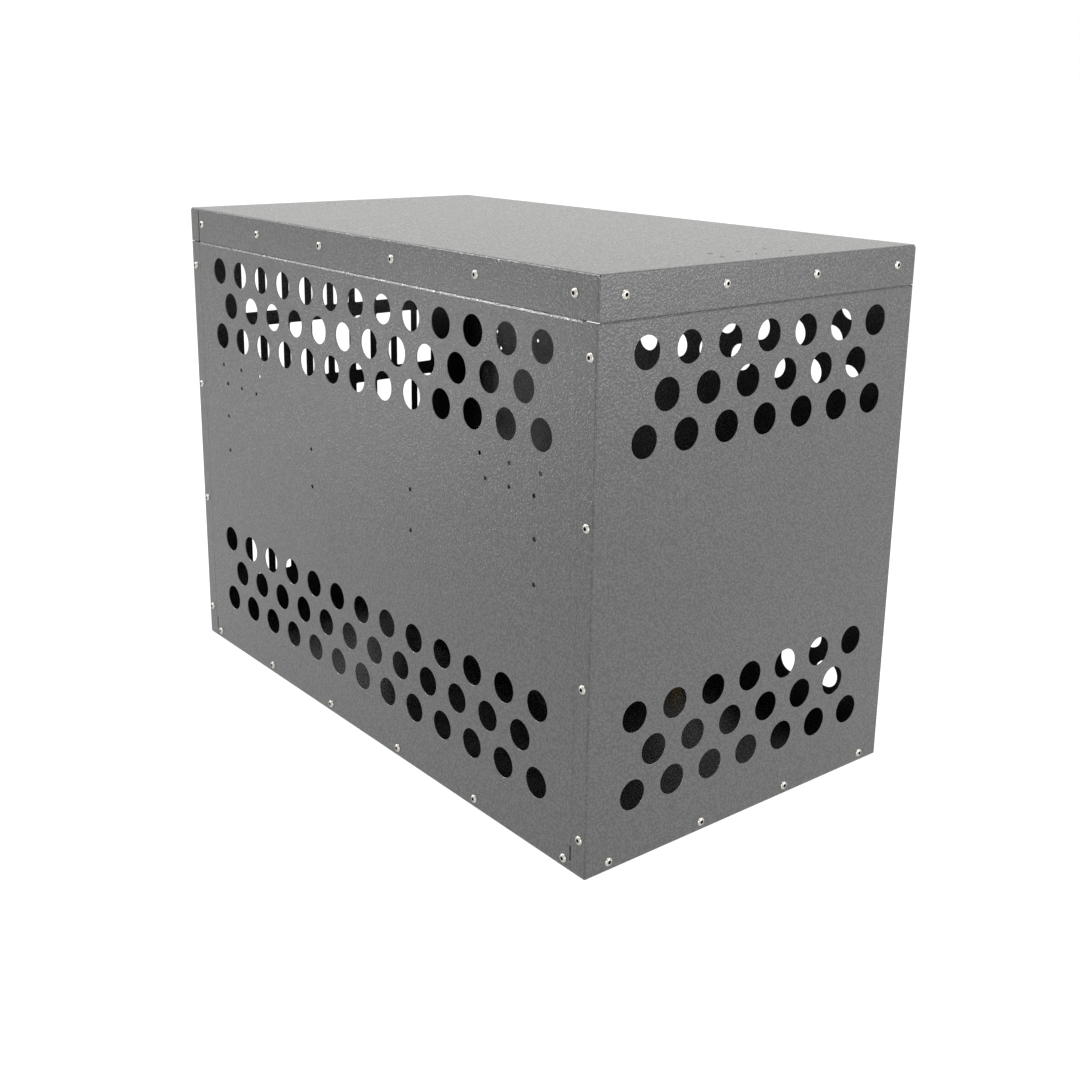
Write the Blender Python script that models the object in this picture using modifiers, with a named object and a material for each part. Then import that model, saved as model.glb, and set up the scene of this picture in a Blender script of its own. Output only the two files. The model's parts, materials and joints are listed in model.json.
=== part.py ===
"""Home standby generator: a bolted, perforated sheet-steel housing with a small gas generating set inside.

Metres, +Z up. The origin is the middle of the base, X runs along the long side and Y from front to back.
The crankshaft lies along X. Every piece is one object, in the collection home_standby_generator.
"""

import math

import bmesh
import bpy
from mathutils import Matrix, Vector

# Driving dimensions of the housing
HEIGHT = 0.690
LENGTH = 0.942
DEPTH = 0.522
SHEET = 0.002
GAP = 0.0003

# Housing proportions worked out from them
HALF_LENGTH = LENGTH / 2
HALF_DEPTH = DEPTH / 2
RIM_HEIGHT = 0.0495
RIM_BOTTOM = HEIGHT - RIM_HEIGHT
PANEL_BOTTOM = 0.001
PANEL_TOP = RIM_BOTTOM - 0.001
FLANGE_WIDTH = 0.025
JOGGLE = SHEET + GAP
TRAY_THICKNESS = 0.003
TRAY_LIP_TOP = 0.0576
TONGUE_TOP = HEIGHT - SHEET - 0.004
TONGUE_LOW = 0.062
WEB = 0.0017
BITE = 0.001

# Button-head screws that hold the housing, each head standing on its sheet
SCREW_RADIUS = 0.0055
SCREW_TOP_RADIUS = 0.0030
SCREW_HEIGHT = 0.0025
SCREW_SIDES = 8
RIM_SCREW_Z = 0.667
BOTTOM_SCREW_Z = 0.012
SCREWS_ALONG = (-0.4332, -0.2597, -0.0866, 0.0866, 0.2597, 0.4332)
SCREWS_ACROSS = (-0.225, -0.075, 0.075, 0.225)
FLANGE_SCREW_X = 0.460
FLANGE_SCREW_HEIGHTS = (0.047, 0.232, 0.418, 0.603)

# Round vents: 38 mm holes on a 63.5 mm pitch, in two blocks of three staggered rows
VENT_RADIUS = 0.019
VENT_PITCH = 0.0635
VENT_ROW_STEP = 0.0488
VENT_BLOCK_MIDDLES = (0.1343, 0.5537)
VENTS_IN_LONG_ROW = 13
VENTS_IN_END_ROW = 7
VENT_SIDES = 8

# Tall slots in the left end panel, where the engine's cooling air comes in
SLOT_COLUMNS = 9
SLOT_ROWS = 5
SLOT_WIDTH = 0.029
SLOT_HEIGHT = 0.0927
SLOT_PITCH_Y = 0.0415
SLOT_PITCH_Z = 0.1156
SLOT_TOP = 0.6133
SLOT_LOWEST = 0.0805

# Small holes for brackets: trapezoids of six, and four pairs one above the other
BRACKET_HOLE_RADIUS = 0.0028
BRACKET_HOLE_SIDES = 6
TRAPEZOID_X = 0.325
TRAPEZOID_ROWS = ((0.461, 0.0565), (0.433, 0.0450))
PAIR_COLUMNS = (0.123, 0.372)
PAIR_HEIGHTS = (0.3285, 0.3825)
ROOF_TRAPEZOID_Y = 0.015
ROOF_TRAPEZOID_ROWS = ((0.402, 0.0465), (0.432, 0.0580))

# Driving dimensions of the generating set
CRANK_Y = 0.075
CRANK_Z = 0.200
CYLINDER_TILT = math.radians(25)
THROTTLE_REST = math.radians(-35)
TOGGLE_REST = math.radians(-20)
CRANKCASE = Vector((0.155, 0.155, 0.195))
CRANKCASE_LEFT = -0.230
CRANKCASE_COVER_THICKNESS = 0.0147
SHAFT_RADIUS = 0.018
SHAFT_LEFT = -0.300
SHAFT_LENGTH = 0.400
BEARING_RADIUS = 0.030
RUNNING_CLEARANCE = 0.0007
HOUSING_BORE = BEARING_RADIUS + 0.001
STATOR_RADIUS = 0.095
ROTOR_RADIUS = 0.067
FLYWHEEL_RADIUS = 0.100
SHROUD_RADIUS = 0.122
SHROUD_LEFT = -0.322
MOUNT_HEIGHT = 0.030
RAIL_SIZE = 0.030
RAIL_LEFT = -0.300
RAIL_RIGHT = 0.140
RAIL_COLUMNS_Y = (0.042, 0.165)
MOUNT_INSET = 0.030
CYLINDER_HALF_X = 0.055
CYLINDER_HALF_Y = 0.052
DECK_TOP = 0.105
HEAD_BOTTOM = 0.1853
COVER_BOTTOM = 0.2253
FILLER = Vector((-0.20, 0.1445, 0.24))
FILLER_AXIS = Vector((0, 0.6, 0.8))
STARTER = Vector((-0.2320, 0.194, 0.165))
FLYWHEEL_LEFT = -0.2630
FAN_LEFT = -0.2680
FAN_BLADES = 12
STATOR_LEFT = -0.0250
BRACKET_LEFT = 0.0753
MIXER_AXIS = Vector((0.078, 0.020, 0.205))
GAS_INLET = Vector((0.120, 0.225, 0.0))
GLAND = Vector((-0.250, 0.235, 0.0))
TRAY_HOLE_RADIUS = 0.0153
VALVE = Vector((0.2475, -0.236, 0.254))
VALVE_STEM_UP = Vector((0, 0, 0.020))
REGULATOR_Z = 0.3555
MUFFLER = Vector((-0.040, -0.088, 0.165))
MUFFLER_LENGTH = 0.170
MUFFLER_RADIUS = 0.042
BATTERY = Vector((-0.445, 0.035, 0.0033))
BATTERY_SIZE = Vector((0.100, 0.165, 0.120))
CONTROL_LEFT = -0.3825
CONTROL_RIGHT = -0.1125
CONTROL_BACK = -0.190
CONTROL_BOTTOM = 0.275
CONTROL_TOP = 0.425
BREAKER = Vector((-0.320, -0.225, 0.0))
TOGGLE_PIVOT_Z = 0.4200
BUTTON = Vector((-0.180, -0.225, 0.4253))

# Places that follow from them
CRANKCASE_RIGHT = CRANKCASE_LEFT + CRANKCASE.x
CRANKCASE_MIDDLE = CRANKCASE_LEFT + CRANKCASE.x / 2
RAIL_BOTTOM = TRAY_THICKNESS + GAP + MOUNT_HEIGHT + GAP
RAIL_TOP = RAIL_BOTTOM + RAIL_SIZE
SEAT = RAIL_TOP + GAP
ALONG_X = Vector((1, 0, 0))
FRONT_TO_BACK = Vector((0, 1, 0))
UP = Vector((0, 0, 1))
CRANK = Vector((0, CRANK_Y, CRANK_Z))
CYLINDER_AXIS = Vector((0, -math.cos(CYLINDER_TILT), math.sin(CYLINDER_TILT)))

# Colour, roughness, metallic
FINISHES = {
    "hammertone_grey": ((0.20, 0.205, 0.20), 0.42, 0.25),
    "black_paint": ((0.02, 0.02, 0.022), 0.45, 0.0),
    "cast_aluminium": ((0.42, 0.43, 0.44), 0.50, 0.9),
    "cast_iron": ((0.11, 0.11, 0.115), 0.60, 0.8),
    "bright_steel": ((0.60, 0.60, 0.60), 0.30, 1.0),
    "hot_steel": ((0.30, 0.27, 0.24), 0.45, 0.9),
    "copper_winding": ((0.45, 0.18, 0.07), 0.40, 0.8),
    "brass": ((0.60, 0.42, 0.16), 0.32, 1.0),
    "black_rubber": ((0.015, 0.015, 0.015), 0.80, 0.0),
    "black_plastic": ((0.03, 0.03, 0.032), 0.50, 0.0),
    "red_plastic": ((0.55, 0.02, 0.015), 0.35, 0.0),
    "green_board": ((0.02, 0.16, 0.06), 0.50, 0.0),
}


def clear_scene():
    for obj in list(bpy.data.objects):
        bpy.data.objects.remove(obj, do_unlink=True)


def make_collection(name):
    collection = bpy.data.collections.new(name)
    bpy.context.scene.collection.children.link(collection)
    return collection


def make_material(name, finish):
    colour, roughness, metallic = FINISHES[finish]
    material = bpy.data.materials.new(name)
    material.use_nodes = True
    shader = material.node_tree.nodes["Principled BSDF"]
    shader.inputs["Base Color"].default_value = (*colour, 1)
    shader.inputs["Roughness"].default_value = roughness
    shader.inputs["Metallic"].default_value = metallic
    material.diffuse_color = (*colour, 1)
    return material


def place(name, mesh, finish, matrix=None):
    """An object for this mesh: a piece of the generator, or a cutter when it has no finish."""
    obj = bpy.data.objects.new(name, mesh)
    obj.matrix_world = matrix or Matrix.Identity(4)
    if finish is None:
        CUTTERS.objects.link(obj)
        obj.hide_render = True
        obj.display_type = "WIRE"
    else:
        PARTS.objects.link(obj)
        mesh.materials.append(make_material(name, finish))
    return obj


def mesh_from(name, shape):
    mesh = bpy.data.meshes.new(name)
    shape.to_mesh(mesh)
    shape.free()
    return mesh


def add_cube(shape, low, high):
    low, high = Vector(low), Vector(high)
    size = high - low
    scale = Matrix.Diagonal((*size, 1))
    bmesh.ops.create_cube(shape, size=1, matrix=Matrix.Translation((low + high) / 2) @ scale)


def box(name, low, high, finish=None, bevel=0.0, origin=None, turn=None):
    """A box between two corners. With turn, the corners are measured in that turned frame."""
    origin = Vector(origin) if origin is not None else (Vector(low) + Vector(high)) / 2
    frame = turn or Matrix.Identity(4)
    shape = bmesh.new()
    add_cube(shape, Vector(low) - origin, Vector(high) - origin)
    obj = place(name, mesh_from(name, shape), finish, frame @ Matrix.Translation(origin))
    if bevel:
        round_edges(obj, bevel)
    return obj


def slab(name, xs, ys, zs, finish=None):
    """A box from its extent along each axis, given in either order."""
    low = (min(xs), min(ys), min(zs))
    high = (max(xs), max(ys), max(zs))
    return box(name, low, high, finish)


def boxes(name, corners):
    """One cutter made of several boxes."""
    shape = bmesh.new()
    for low, high in corners:
        add_cube(shape, low, high)
    return place(name, mesh_from(name, shape), None)


def round_edges(obj, width):
    bevel = obj.modifiers.new("rounded_edges", "BEVEL")
    bevel.width = width
    bevel.segments = 1
    bevel.limit_method = "ANGLE"


def axis_matrix(start, direction):
    turn = Vector(direction).to_track_quat("Z", "Y").to_matrix().to_4x4()
    return Matrix.Translation(start) @ turn


def rod(name, start, direction, length, radius, finish=None, sides=16):
    """A round bar from start, along direction."""
    shape = bmesh.new()
    bmesh.ops.create_cone(
        shape, cap_ends=True, segments=sides, radius1=radius, radius2=radius, depth=length,
        matrix=Matrix.Translation((0, 0, length / 2)),
    )
    obj = place(name, mesh_from(name, shape), finish, axis_matrix(start, direction))
    smooth(obj)
    return obj


def rods(name, starts, direction, length, radius, sides):
    """One cutter made of several round bars side by side."""
    turn = Vector(direction).to_track_quat("Z", "Y").to_matrix().to_4x4()
    shape = bmesh.new()
    for start in starts:
        bmesh.ops.create_cone(
            shape, cap_ends=True, segments=sides, radius1=radius, radius2=radius, depth=length,
            matrix=Matrix.Translation(start) @ turn,
        )
    return place(name, mesh_from(name, shape), None)


def turned(name, start, direction, profile, finish=None, sides=20):
    """A turned piece. The profile lists (radius, distance along direction), far end first."""
    mesh = bpy.data.meshes.new(name)
    points = [(radius, 0, along) for radius, along in profile]
    count = len(points)
    closed = profile[0][0] > 0
    edges = [(i, (i + 1) % count) for i in range(count if closed else count - 1)]
    mesh.from_pydata(points, edges, [])
    obj = place(name, mesh, finish, axis_matrix(start, direction))
    screw = obj.modifiers.new("turned", "SCREW")
    screw.steps = sides
    screw.render_steps = sides
    screw.use_merge_vertices = True
    screw.merge_threshold = 0.00001
    return obj


def ring(name, start, direction, length, outer, inner, finish=None, sides=20):
    profile = [(outer, length), (outer, 0), (inner, 0), (inner, length)]
    return turned(name, start, direction, profile, finish, sides)


def hose(name, start, start_direction, middle, end, end_direction, radius, finish):
    """A round hose that leaves start straight, passes smoothly through middle and goes straight into end."""
    start, end = Vector(start), Vector(end)
    leave, arrive = Vector(start_direction), Vector(end_direction)
    route = [start, start + leave * radius, start + leave * 3 * radius]
    route += [Vector(point) for point in middle]
    route += [end - arrive * 3 * radius, end - arrive * radius, end]
    smooth_route = []
    for i in range(len(route) - 1):
        before = route[max(i - 1, 0)]
        after = route[min(i + 2, len(route) - 1)]
        steps = 1 if i in (0, len(route) - 2) else 3
        for step in range(steps):
            point = spline_point(before, route[i], route[i + 1], after, step / steps)
            smooth_route.append(point)
    smooth_route.append(route[-1])
    curve = bpy.data.curves.new(name, "CURVE")
    curve.dimensions = "3D"
    curve.bevel_depth = radius
    curve.bevel_resolution = 2
    curve.use_fill_caps = True
    spline = curve.splines.new("POLY")
    spline.points.add(len(smooth_route) - 1)
    for point, where in zip(spline.points, smooth_route):
        point.co = (*where, 1)
    return place(name, curve, finish)


def spline_point(before, start, end, after, t):
    """A point of the Catmull-Rom curve between start and end."""
    return 0.5 * (
        2 * start
        + (end - before) * t
        + (2 * before - 5 * start + 4 * end - after) * t ** 2
        + (3 * start - before - 3 * end + after) * t ** 3
    )


def smooth(obj):
    obj.data.shade_smooth()
    obj.data.set_sharp_from_angle(angle=math.radians(35))


def cut(piece, *cutters):
    for cutter in cutters:
        boolean = piece.modifiers.new("cut_by_" + cutter.name, "BOOLEAN")
        boolean.operation = "DIFFERENCE"
        boolean.object = cutter


def join(piece, *additions):
    for addition in additions:
        boolean = piece.modifiers.new("joined_to_" + addition.name, "BOOLEAN")
        boolean.operation = "UNION"
        boolean.object = addition


def vent_places(longest_row):
    """(distance from the middle, height) of each round vent of a face."""
    places = []
    for middle in VENT_BLOCK_MIDDLES:
        for row in (-1, 0, 1):
            count = longest_row if row else longest_row - 1
            for i in range(count):
                places.append(((i - (count - 1) / 2) * VENT_PITCH, middle + row * VENT_ROW_STEP))
    return places


def make_tray():
    """Floor pan with an upturned lip all round, which the panels overlap on the outside."""
    outer = Vector((HALF_LENGTH - JOGGLE, HALF_DEPTH - JOGGLE, 0))
    inner = outer - Vector((SHEET, SHEET, 0))
    tray = box("base_tray", -outer, outer + Vector((0, 0, TRAY_LIP_TOP)), "hammertone_grey")
    hollow = box("tray_hollow", -inner + UP * TRAY_THICKNESS, inner + UP * (TRAY_LIP_TOP + BITE))
    through = TRAY_THICKNESS + 2 * BITE
    inlet = rod("tray_gas_hole", GAS_INLET - UP * BITE, UP, through, TRAY_HOLE_RADIUS, sides=12)
    conduit = rod("tray_conduit_hole", GLAND - UP * BITE, UP, through, TRAY_HOLE_RADIUS, sides=12)
    cut(tray, hollow, inlet, conduit)


def make_roof():
    """Lid with a rim turned down over the panels' top tongues."""
    corner = Vector((HALF_LENGTH, HALF_DEPTH, 0))
    roof = box("roof", -corner + UP * RIM_BOTTOM, corner + UP * HEIGHT, "hammertone_grey")
    inside = Vector((HALF_LENGTH - SHEET, HALF_DEPTH - SHEET, 0))
    hollow = box("roof_hollow", -inside + UP * (RIM_BOTTOM - BITE), inside + UP * (HEIGHT - SHEET))
    holes = []
    for side in (-1, 1):
        for x, spread in ROOF_TRAPEZOID_ROWS:
            for i in (-1, 0, 1):
                holes.append((side * x, ROOF_TRAPEZOID_Y + i * spread, HEIGHT))
    brackets = rods("roof_bracket_holes", holes, UP, 4 * SHEET, BRACKET_HOLE_RADIUS, BRACKET_HOLE_SIDES)
    cut(roof, hollow, brackets)
    seats = []
    for side in (-1, 1):
        seats += [((x, side * HALF_DEPTH, RIM_SCREW_Z), (0, side, 0)) for x in SCREWS_ALONG]
        seats += [((side * HALF_LENGTH, y, RIM_SCREW_Z), (side, 0, 0)) for y in SCREWS_ACROSS]
    join(roof, screw_heads("roof_screws", seats))


def screw_heads(name, seats):
    """The heads of several screws in one shape, from the (middle of the seat, outward direction) of each."""
    shape = bmesh.new()
    for where, outward in seats:
        bmesh.ops.create_cone(
            shape, cap_ends=True, segments=SCREW_SIDES, radius1=SCREW_RADIUS, radius2=SCREW_TOP_RADIUS,
            depth=SCREW_HEIGHT + BITE,
            matrix=axis_matrix(where, outward) @ Matrix.Translation((0, 0, (SCREW_HEIGHT - BITE) / 2)),
        )
    return place(name, mesh_from(name, shape), None)


def make_long_panels():
    """Front and back panels. Joggled tongues run up behind the rim, and sideways behind the flanges."""
    vents = rods(
        "long_vents", [(x, 0, z) for x, z in vent_places(VENTS_IN_LONG_ROW)],
        FRONT_TO_BACK, 2 * DEPTH, VENT_RADIUS, VENT_SIDES,
    )
    holes = []
    for side in (-1, 1):
        for z, spread in TRAPEZOID_ROWS:
            holes += [(side * TRAPEZOID_X + i * spread, 0, z) for i in (-1, 0, 1)]
        holes += [(side * x, 0, z) for x in PAIR_COLUMNS for z in PAIR_HEIGHTS]
    brackets = rods(
        "long_bracket_holes", holes, FRONT_TO_BACK, 2 * DEPTH, BRACKET_HOLE_RADIUS, BRACKET_HOLE_SIDES,
    )
    half = HALF_LENGTH - FLANGE_WIDTH - GAP
    for name, side in (("front_panel", -1), ("back_panel", 1)):
        face = side * HALF_DEPTH
        tongue = face - side * JOGGLE
        middle = face - side * SHEET / 2
        web_end = tongue - side * SHEET / 2
        faces = (face, face - side * SHEET)
        back = (tongue, tongue - side * SHEET)
        top = half + FLANGE_WIDTH - 0.006
        panel = slab(name, (-half, half), faces, (PANEL_BOTTOM, PANEL_TOP), "hammertone_grey")
        web = (PANEL_TOP - WEB - GAP, PANEL_TOP - GAP)
        pieces = [
            slab(name + "_top_web", (-half + BITE, half - BITE), (middle, web_end), web),
            slab(name + "_top_tongue", (-top, top), back, (PANEL_TOP - WEB - BITE, TONGUE_TOP)),
        ]
        for end in (-1, 1):
            low, high = TONGUE_LOW, PANEL_TOP - 0.006
            web = (end * (half - GAP), end * (half - GAP - WEB))
            reach = (end * (half - WEB - BITE), end * (half + FLANGE_WIDTH - 0.005))
            pieces += [
                slab(f"{name}_side_web_{end + 1}", web, (middle, web_end), (low + BITE, high - BITE)),
                slab(f"{name}_side_tongue_{end + 1}", reach, back, (low, high)),
            ]
        seats = [((x, face, BOTTOM_SCREW_Z), (0, side, 0)) for x in SCREWS_ALONG]
        join(panel, *pieces)
        cut(panel, vents, brackets)
        join(panel, screw_heads(name + "_screws", seats))


def make_end_panels():
    """Channel-shaped end panels, whose flanges turn on to the long faces. The left one has tall slots."""
    vents = rods(
        "end_vents", [(HALF_LENGTH, y, z) for y, z in vent_places(VENTS_IN_END_ROW)],
        ALONG_X, 4 * SHEET, VENT_RADIUS, VENT_SIDES,
    )
    slots = []
    for row in range(SLOT_ROWS):
        top = SLOT_TOP - row * SLOT_PITCH_Z
        bottom = max(top - SLOT_HEIGHT, SLOT_LOWEST)
        for column in range(SLOT_COLUMNS):
            y = (column - (SLOT_COLUMNS - 1) / 2) * SLOT_PITCH_Y
            low = (-HALF_LENGTH - BITE, y - SLOT_WIDTH / 2, bottom)
            slots.append((low, (-HALF_LENGTH + 3 * SHEET, y + SLOT_WIDTH / 2, top)))
    openings = {"right_end_panel": vents, "left_end_panel": boxes("air_slots", slots)}
    for name, side in (("left_end_panel", -1), ("right_end_panel", 1)):
        face = side * HALF_LENGTH
        edge = face - side * FLANGE_WIDTH
        tongue = face - side * JOGGLE
        depth = (-HALF_DEPTH, HALF_DEPTH)
        panel = slab(name, (edge, face), depth, (PANEL_BOTTOM, PANEL_TOP), "hammertone_grey")
        inside = HALF_DEPTH - SHEET
        hollow = slab(
            name + "_hollow", (edge - side * BITE, face - side * SHEET), (-inside, inside),
            (PANEL_BOTTOM - BITE, PANEL_TOP + BITE),
        )
        width = inside - 0.003
        web = slab(
            name + "_top_web", (face - side * SHEET / 2, tongue - side * SHEET / 2), (-width, width),
            (PANEL_TOP - WEB - GAP, PANEL_TOP - GAP),
        )
        top_tongue = slab(
            name + "_top_tongue", (tongue, tongue - side * SHEET), (-width - GAP, width + GAP),
            (PANEL_TOP - WEB - BITE, TONGUE_TOP),
        )
        seats = [((face, y, BOTTOM_SCREW_Z), (side, 0, 0)) for y in SCREWS_ACROSS]
        flange_x = side * FLANGE_SCREW_X
        for front in (-1, 1):
            seats += [((flange_x, front * HALF_DEPTH, z), (0, front, 0)) for z in FLANGE_SCREW_HEIGHTS]
        cut(panel, hollow)
        join(panel, web, top_tongue, screw_heads(name + "_screws", seats))
        cut(panel, openings[name])


def make_cradle():
    """Rubber mounts on the tray, two rails on them and a cross member at each end."""
    mount_bottom = TRAY_THICKNESS + GAP
    bulge = [(0.0, 1.0), (0.018, 1.0), (0.0150, 0.75), (0.0150, 0.25), (0.018, 0.0), (0.0, 0.0)]
    profile = [(radius, height * MOUNT_HEIGHT) for radius, height in bulge]
    half = RAIL_SIZE / 2
    for row, y in zip(("front", "rear"), RAIL_COLUMNS_Y):
        for side, x in (("left", RAIL_LEFT + MOUNT_INSET), ("right", RAIL_RIGHT - MOUNT_INSET)):
            foot = (x, y, mount_bottom)
            turned(f"rubber_mount_{row}_{side}", foot, UP, profile, "black_rubber", 16)
        low, high = (RAIL_LEFT, y - half, RAIL_BOTTOM), (RAIL_RIGHT, y + half, RAIL_TOP)
        box(f"{row}_rail", low, high, "black_paint", 0.003)
    inner_low = RAIL_COLUMNS_Y[0] + half + GAP
    inner_high = RAIL_COLUMNS_Y[1] - half - GAP
    for side, x in (("left", RAIL_LEFT), ("right", RAIL_RIGHT - RAIL_SIZE)):
        low, high = (x, inner_low, RAIL_BOTTOM), (x + RAIL_SIZE, inner_high, RAIL_TOP)
        box(f"{side}_cross_member", low, high, "black_paint", 0.003)


def cylinder_frame():
    """Frame with its origin on the crank axis in the cylinder's middle, and +Z out along the cylinder."""
    turn = Matrix.Rotation(math.pi / 2 - CYLINDER_TILT, 4, "X")
    return Matrix.Translation((CRANKCASE_MIDDLE, CRANK_Y, CRANK_Z)) @ turn


def fins(name, turn, low, high, count):
    """Cutter that leaves count fins on the cylinder's two sides, by the slots between them."""
    step = (high - low) / count
    depth = 0.012
    corners = []
    for i in range(count):
        bottom = low + (i + 0.3) * step
        top = low + (i + 0.7) * step
        for side in (-1, 1):
            inner, outer = sorted((side * (CYLINDER_HALF_X - depth), side * (CYLINDER_HALF_X + BITE)))
            reach = CYLINDER_HALF_Y + BITE
            corners.append(((inner, -reach, bottom), (outer, reach, top)))
    cutter = boxes(name, corners)
    cutter.matrix_world = turn
    return cutter


def make_engine():
    """Single-cylinder, air-cooled engine. Its cylinder leans towards the front."""
    case_low = Vector((CRANKCASE_LEFT, 0.010, 0.095))
    crankcase = box("crankcase", case_low, case_low + CRANKCASE, "cast_aluminium", 0.008)
    turn = cylinder_frame()
    deck = box("crankcase_deck", (-0.058, -0.055, 0.02), (0.058, 0.055, DECK_TOP), turn=turn)
    feet = slab("crankcase_feet", (-0.215, -0.090), (0.030, 0.176), (SEAT, 0.100))
    bore_start = (CRANKCASE_LEFT - BITE, CRANK_Y, CRANK_Z)
    bore = rod("crankcase_bore", bore_start, ALONG_X, CRANKCASE.x + 2 * BITE, HOUSING_BORE)
    filler = rod("filler_hole", FILLER, FILLER_AXIS, 0.09, 0.0083, sides=12)
    join(crankcase, deck, feet)
    cut(crankcase, bore, filler)
    cover_start = (CRANKCASE_RIGHT + GAP, CRANK_Y, CRANK_Z)
    ring(
        "crankcase_cover", cover_start, ALONG_X, CRANKCASE_COVER_THICKNESS, 0.070, HOUSING_BORE,
        "cast_aluminium",
    )

    half_x, half_y = CYLINDER_HALF_X, CYLINDER_HALF_Y
    barrel_low, barrel_high = (-half_x, -half_y, DECK_TOP + GAP), (half_x, half_y, HEAD_BOTTOM - GAP)
    barrel = box("cylinder", barrel_low, barrel_high, "cast_iron", turn=turn)
    cut(barrel, fins("cylinder_fins", turn, DECK_TOP + 0.006, HEAD_BOTTOM - 0.004, 6))
    head_low, head_high = (-half_x, -half_y, HEAD_BOTTOM), (half_x, half_y, COVER_BOTTOM - GAP)
    head = box("cylinder_head", head_low, head_high, "cast_aluminium", turn=turn)
    cut(head, fins("head_fins", turn, HEAD_BOTTOM + 0.006, COVER_BOTTOM - 0.006, 3))
    cover_low, cover_high = (-0.050, -0.040, COVER_BOTTOM), (0.022, 0.040, COVER_BOTTOM + 0.028)
    box("rocker_cover", cover_low, cover_high, "cast_aluminium", 0.008, turn=turn)
    plug_start = turn @ Vector((0.039, 0, COVER_BOTTOM))
    plug = [(0.0, 0.050), (0.0045, 0.050), (0.0045, 0.022), (0.0095, 0.020), (0.0095, 0.0), (0.0, 0.0)]
    turned("spark_plug", plug_start, CYLINDER_AXIS, plug, "bright_steel", 12)

    cap = [(0.0, 0.022), (0.014, 0.022), (0.014, 0.010), (0.006, 0.008), (0.006, 0.0), (0.0, 0.0)]
    turned("oil_filler_cap", FILLER + FILLER_AXIS * 0.048, FILLER_AXIS, cap, "black_plastic", 12)
    starter = [(0.0, 0.120), (0.026, 0.120), (0.026, 0.030), (0.019, 0.026), (0.019, 0.0), (0.0, 0.0)]
    turned("starter_motor", STARTER, ALONG_X, starter, "black_paint", 16)


def make_rotating_set():
    """What turns with the crankshaft. Each piece has its origin on the crank axis."""
    shaft = [(0.0, SHAFT_LENGTH), (SHAFT_RADIUS, SHAFT_LENGTH), (SHAFT_RADIUS, 0), (0.0, 0)]
    turned("crankshaft", CRANK + ALONG_X * SHAFT_LEFT, ALONG_X, shaft, "bright_steel", 16)
    fit = SHAFT_RADIUS + GAP
    ring("flywheel", CRANK + ALONG_X * FLYWHEEL_LEFT, ALONG_X, 0.020, FLYWHEEL_RADIUS, fit, "cast_iron", 24)
    fan_start = CRANK + ALONG_X * FAN_LEFT
    fan = ring("cooling_fan", fan_start, ALONG_X, 0.0047, 0.090, fit, "black_plastic", 24)
    blades = bmesh.new()
    for i in range(FAN_BLADES):
        add_cube(blades, (0.035, -0.0015, -0.028), (0.088, 0.0015, 0.002))
        turn = Matrix.Rotation(2 * math.pi * i / FAN_BLADES, 3, "Z")
        bmesh.ops.rotate(blades, verts=blades.verts[-8:], cent=(0, 0, 0), matrix=turn)
    join(fan, place("fan_blades", mesh_from("fan_blades", blades), None, axis_matrix(fan_start, ALONG_X)))
    rotor_start = CRANK + ALONG_X * (STATOR_LEFT + 0.003)
    ring("rotor", rotor_start, ALONG_X, 0.088, ROTOR_RADIUS, fit, "copper_winding", 20)


def make_bearings():
    """Two main bearings in the crankcase's bore, and one in the alternator's end bracket."""
    bore = SHAFT_RADIUS + RUNNING_CLEARANCE
    lefts = {
        "main_bearing_left": CRANKCASE_LEFT + 0.002,
        "main_bearing_right": CRANKCASE_RIGHT - 0.004,
        "rotor_bearing": BRACKET_LEFT + 0.0032,
    }
    for name, left in lefts.items():
        ring(name, CRANK + ALONG_X * left, ALONG_X, 0.016, BEARING_RADIUS, bore, "bright_steel", 16)


def make_shroud():
    """Sheet-metal cowl round the fan, with a duct that blows the air over the cylinder's fins."""
    left = SHROUD_LEFT
    right = CRANKCASE_LEFT - SHEET - GAP
    length = right - left
    start = CRANK + ALONG_X * left
    shroud = rod("fan_shroud", start, ALONG_X, length, SHROUD_RADIUS, "black_paint", 24)
    turn = Matrix.Translation(CRANK) @ Matrix.Rotation(math.pi / 2 - CYLINDER_TILT, 4, "X")
    duct = box("shroud_duct", (left, -0.062, 0), (right - GAP, 0.062, 0.225), turn=turn)
    inside_low, inside_high = (left + SHEET, -0.060, 0), (right + BITE, 0.060, 0.223)
    duct_inside = box("duct_inside", inside_low, inside_high, turn=turn)
    inside = rod("shroud_inside", start + ALONG_X * SHEET, ALONG_X, length, SHROUD_RADIUS - SHEET, sides=24)
    intake = rod("shroud_intake", start - ALONG_X * BITE, ALONG_X, 0.01, 0.070, sides=20)
    join(shroud, duct)
    cut(shroud, inside, duct_inside, intake)


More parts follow.
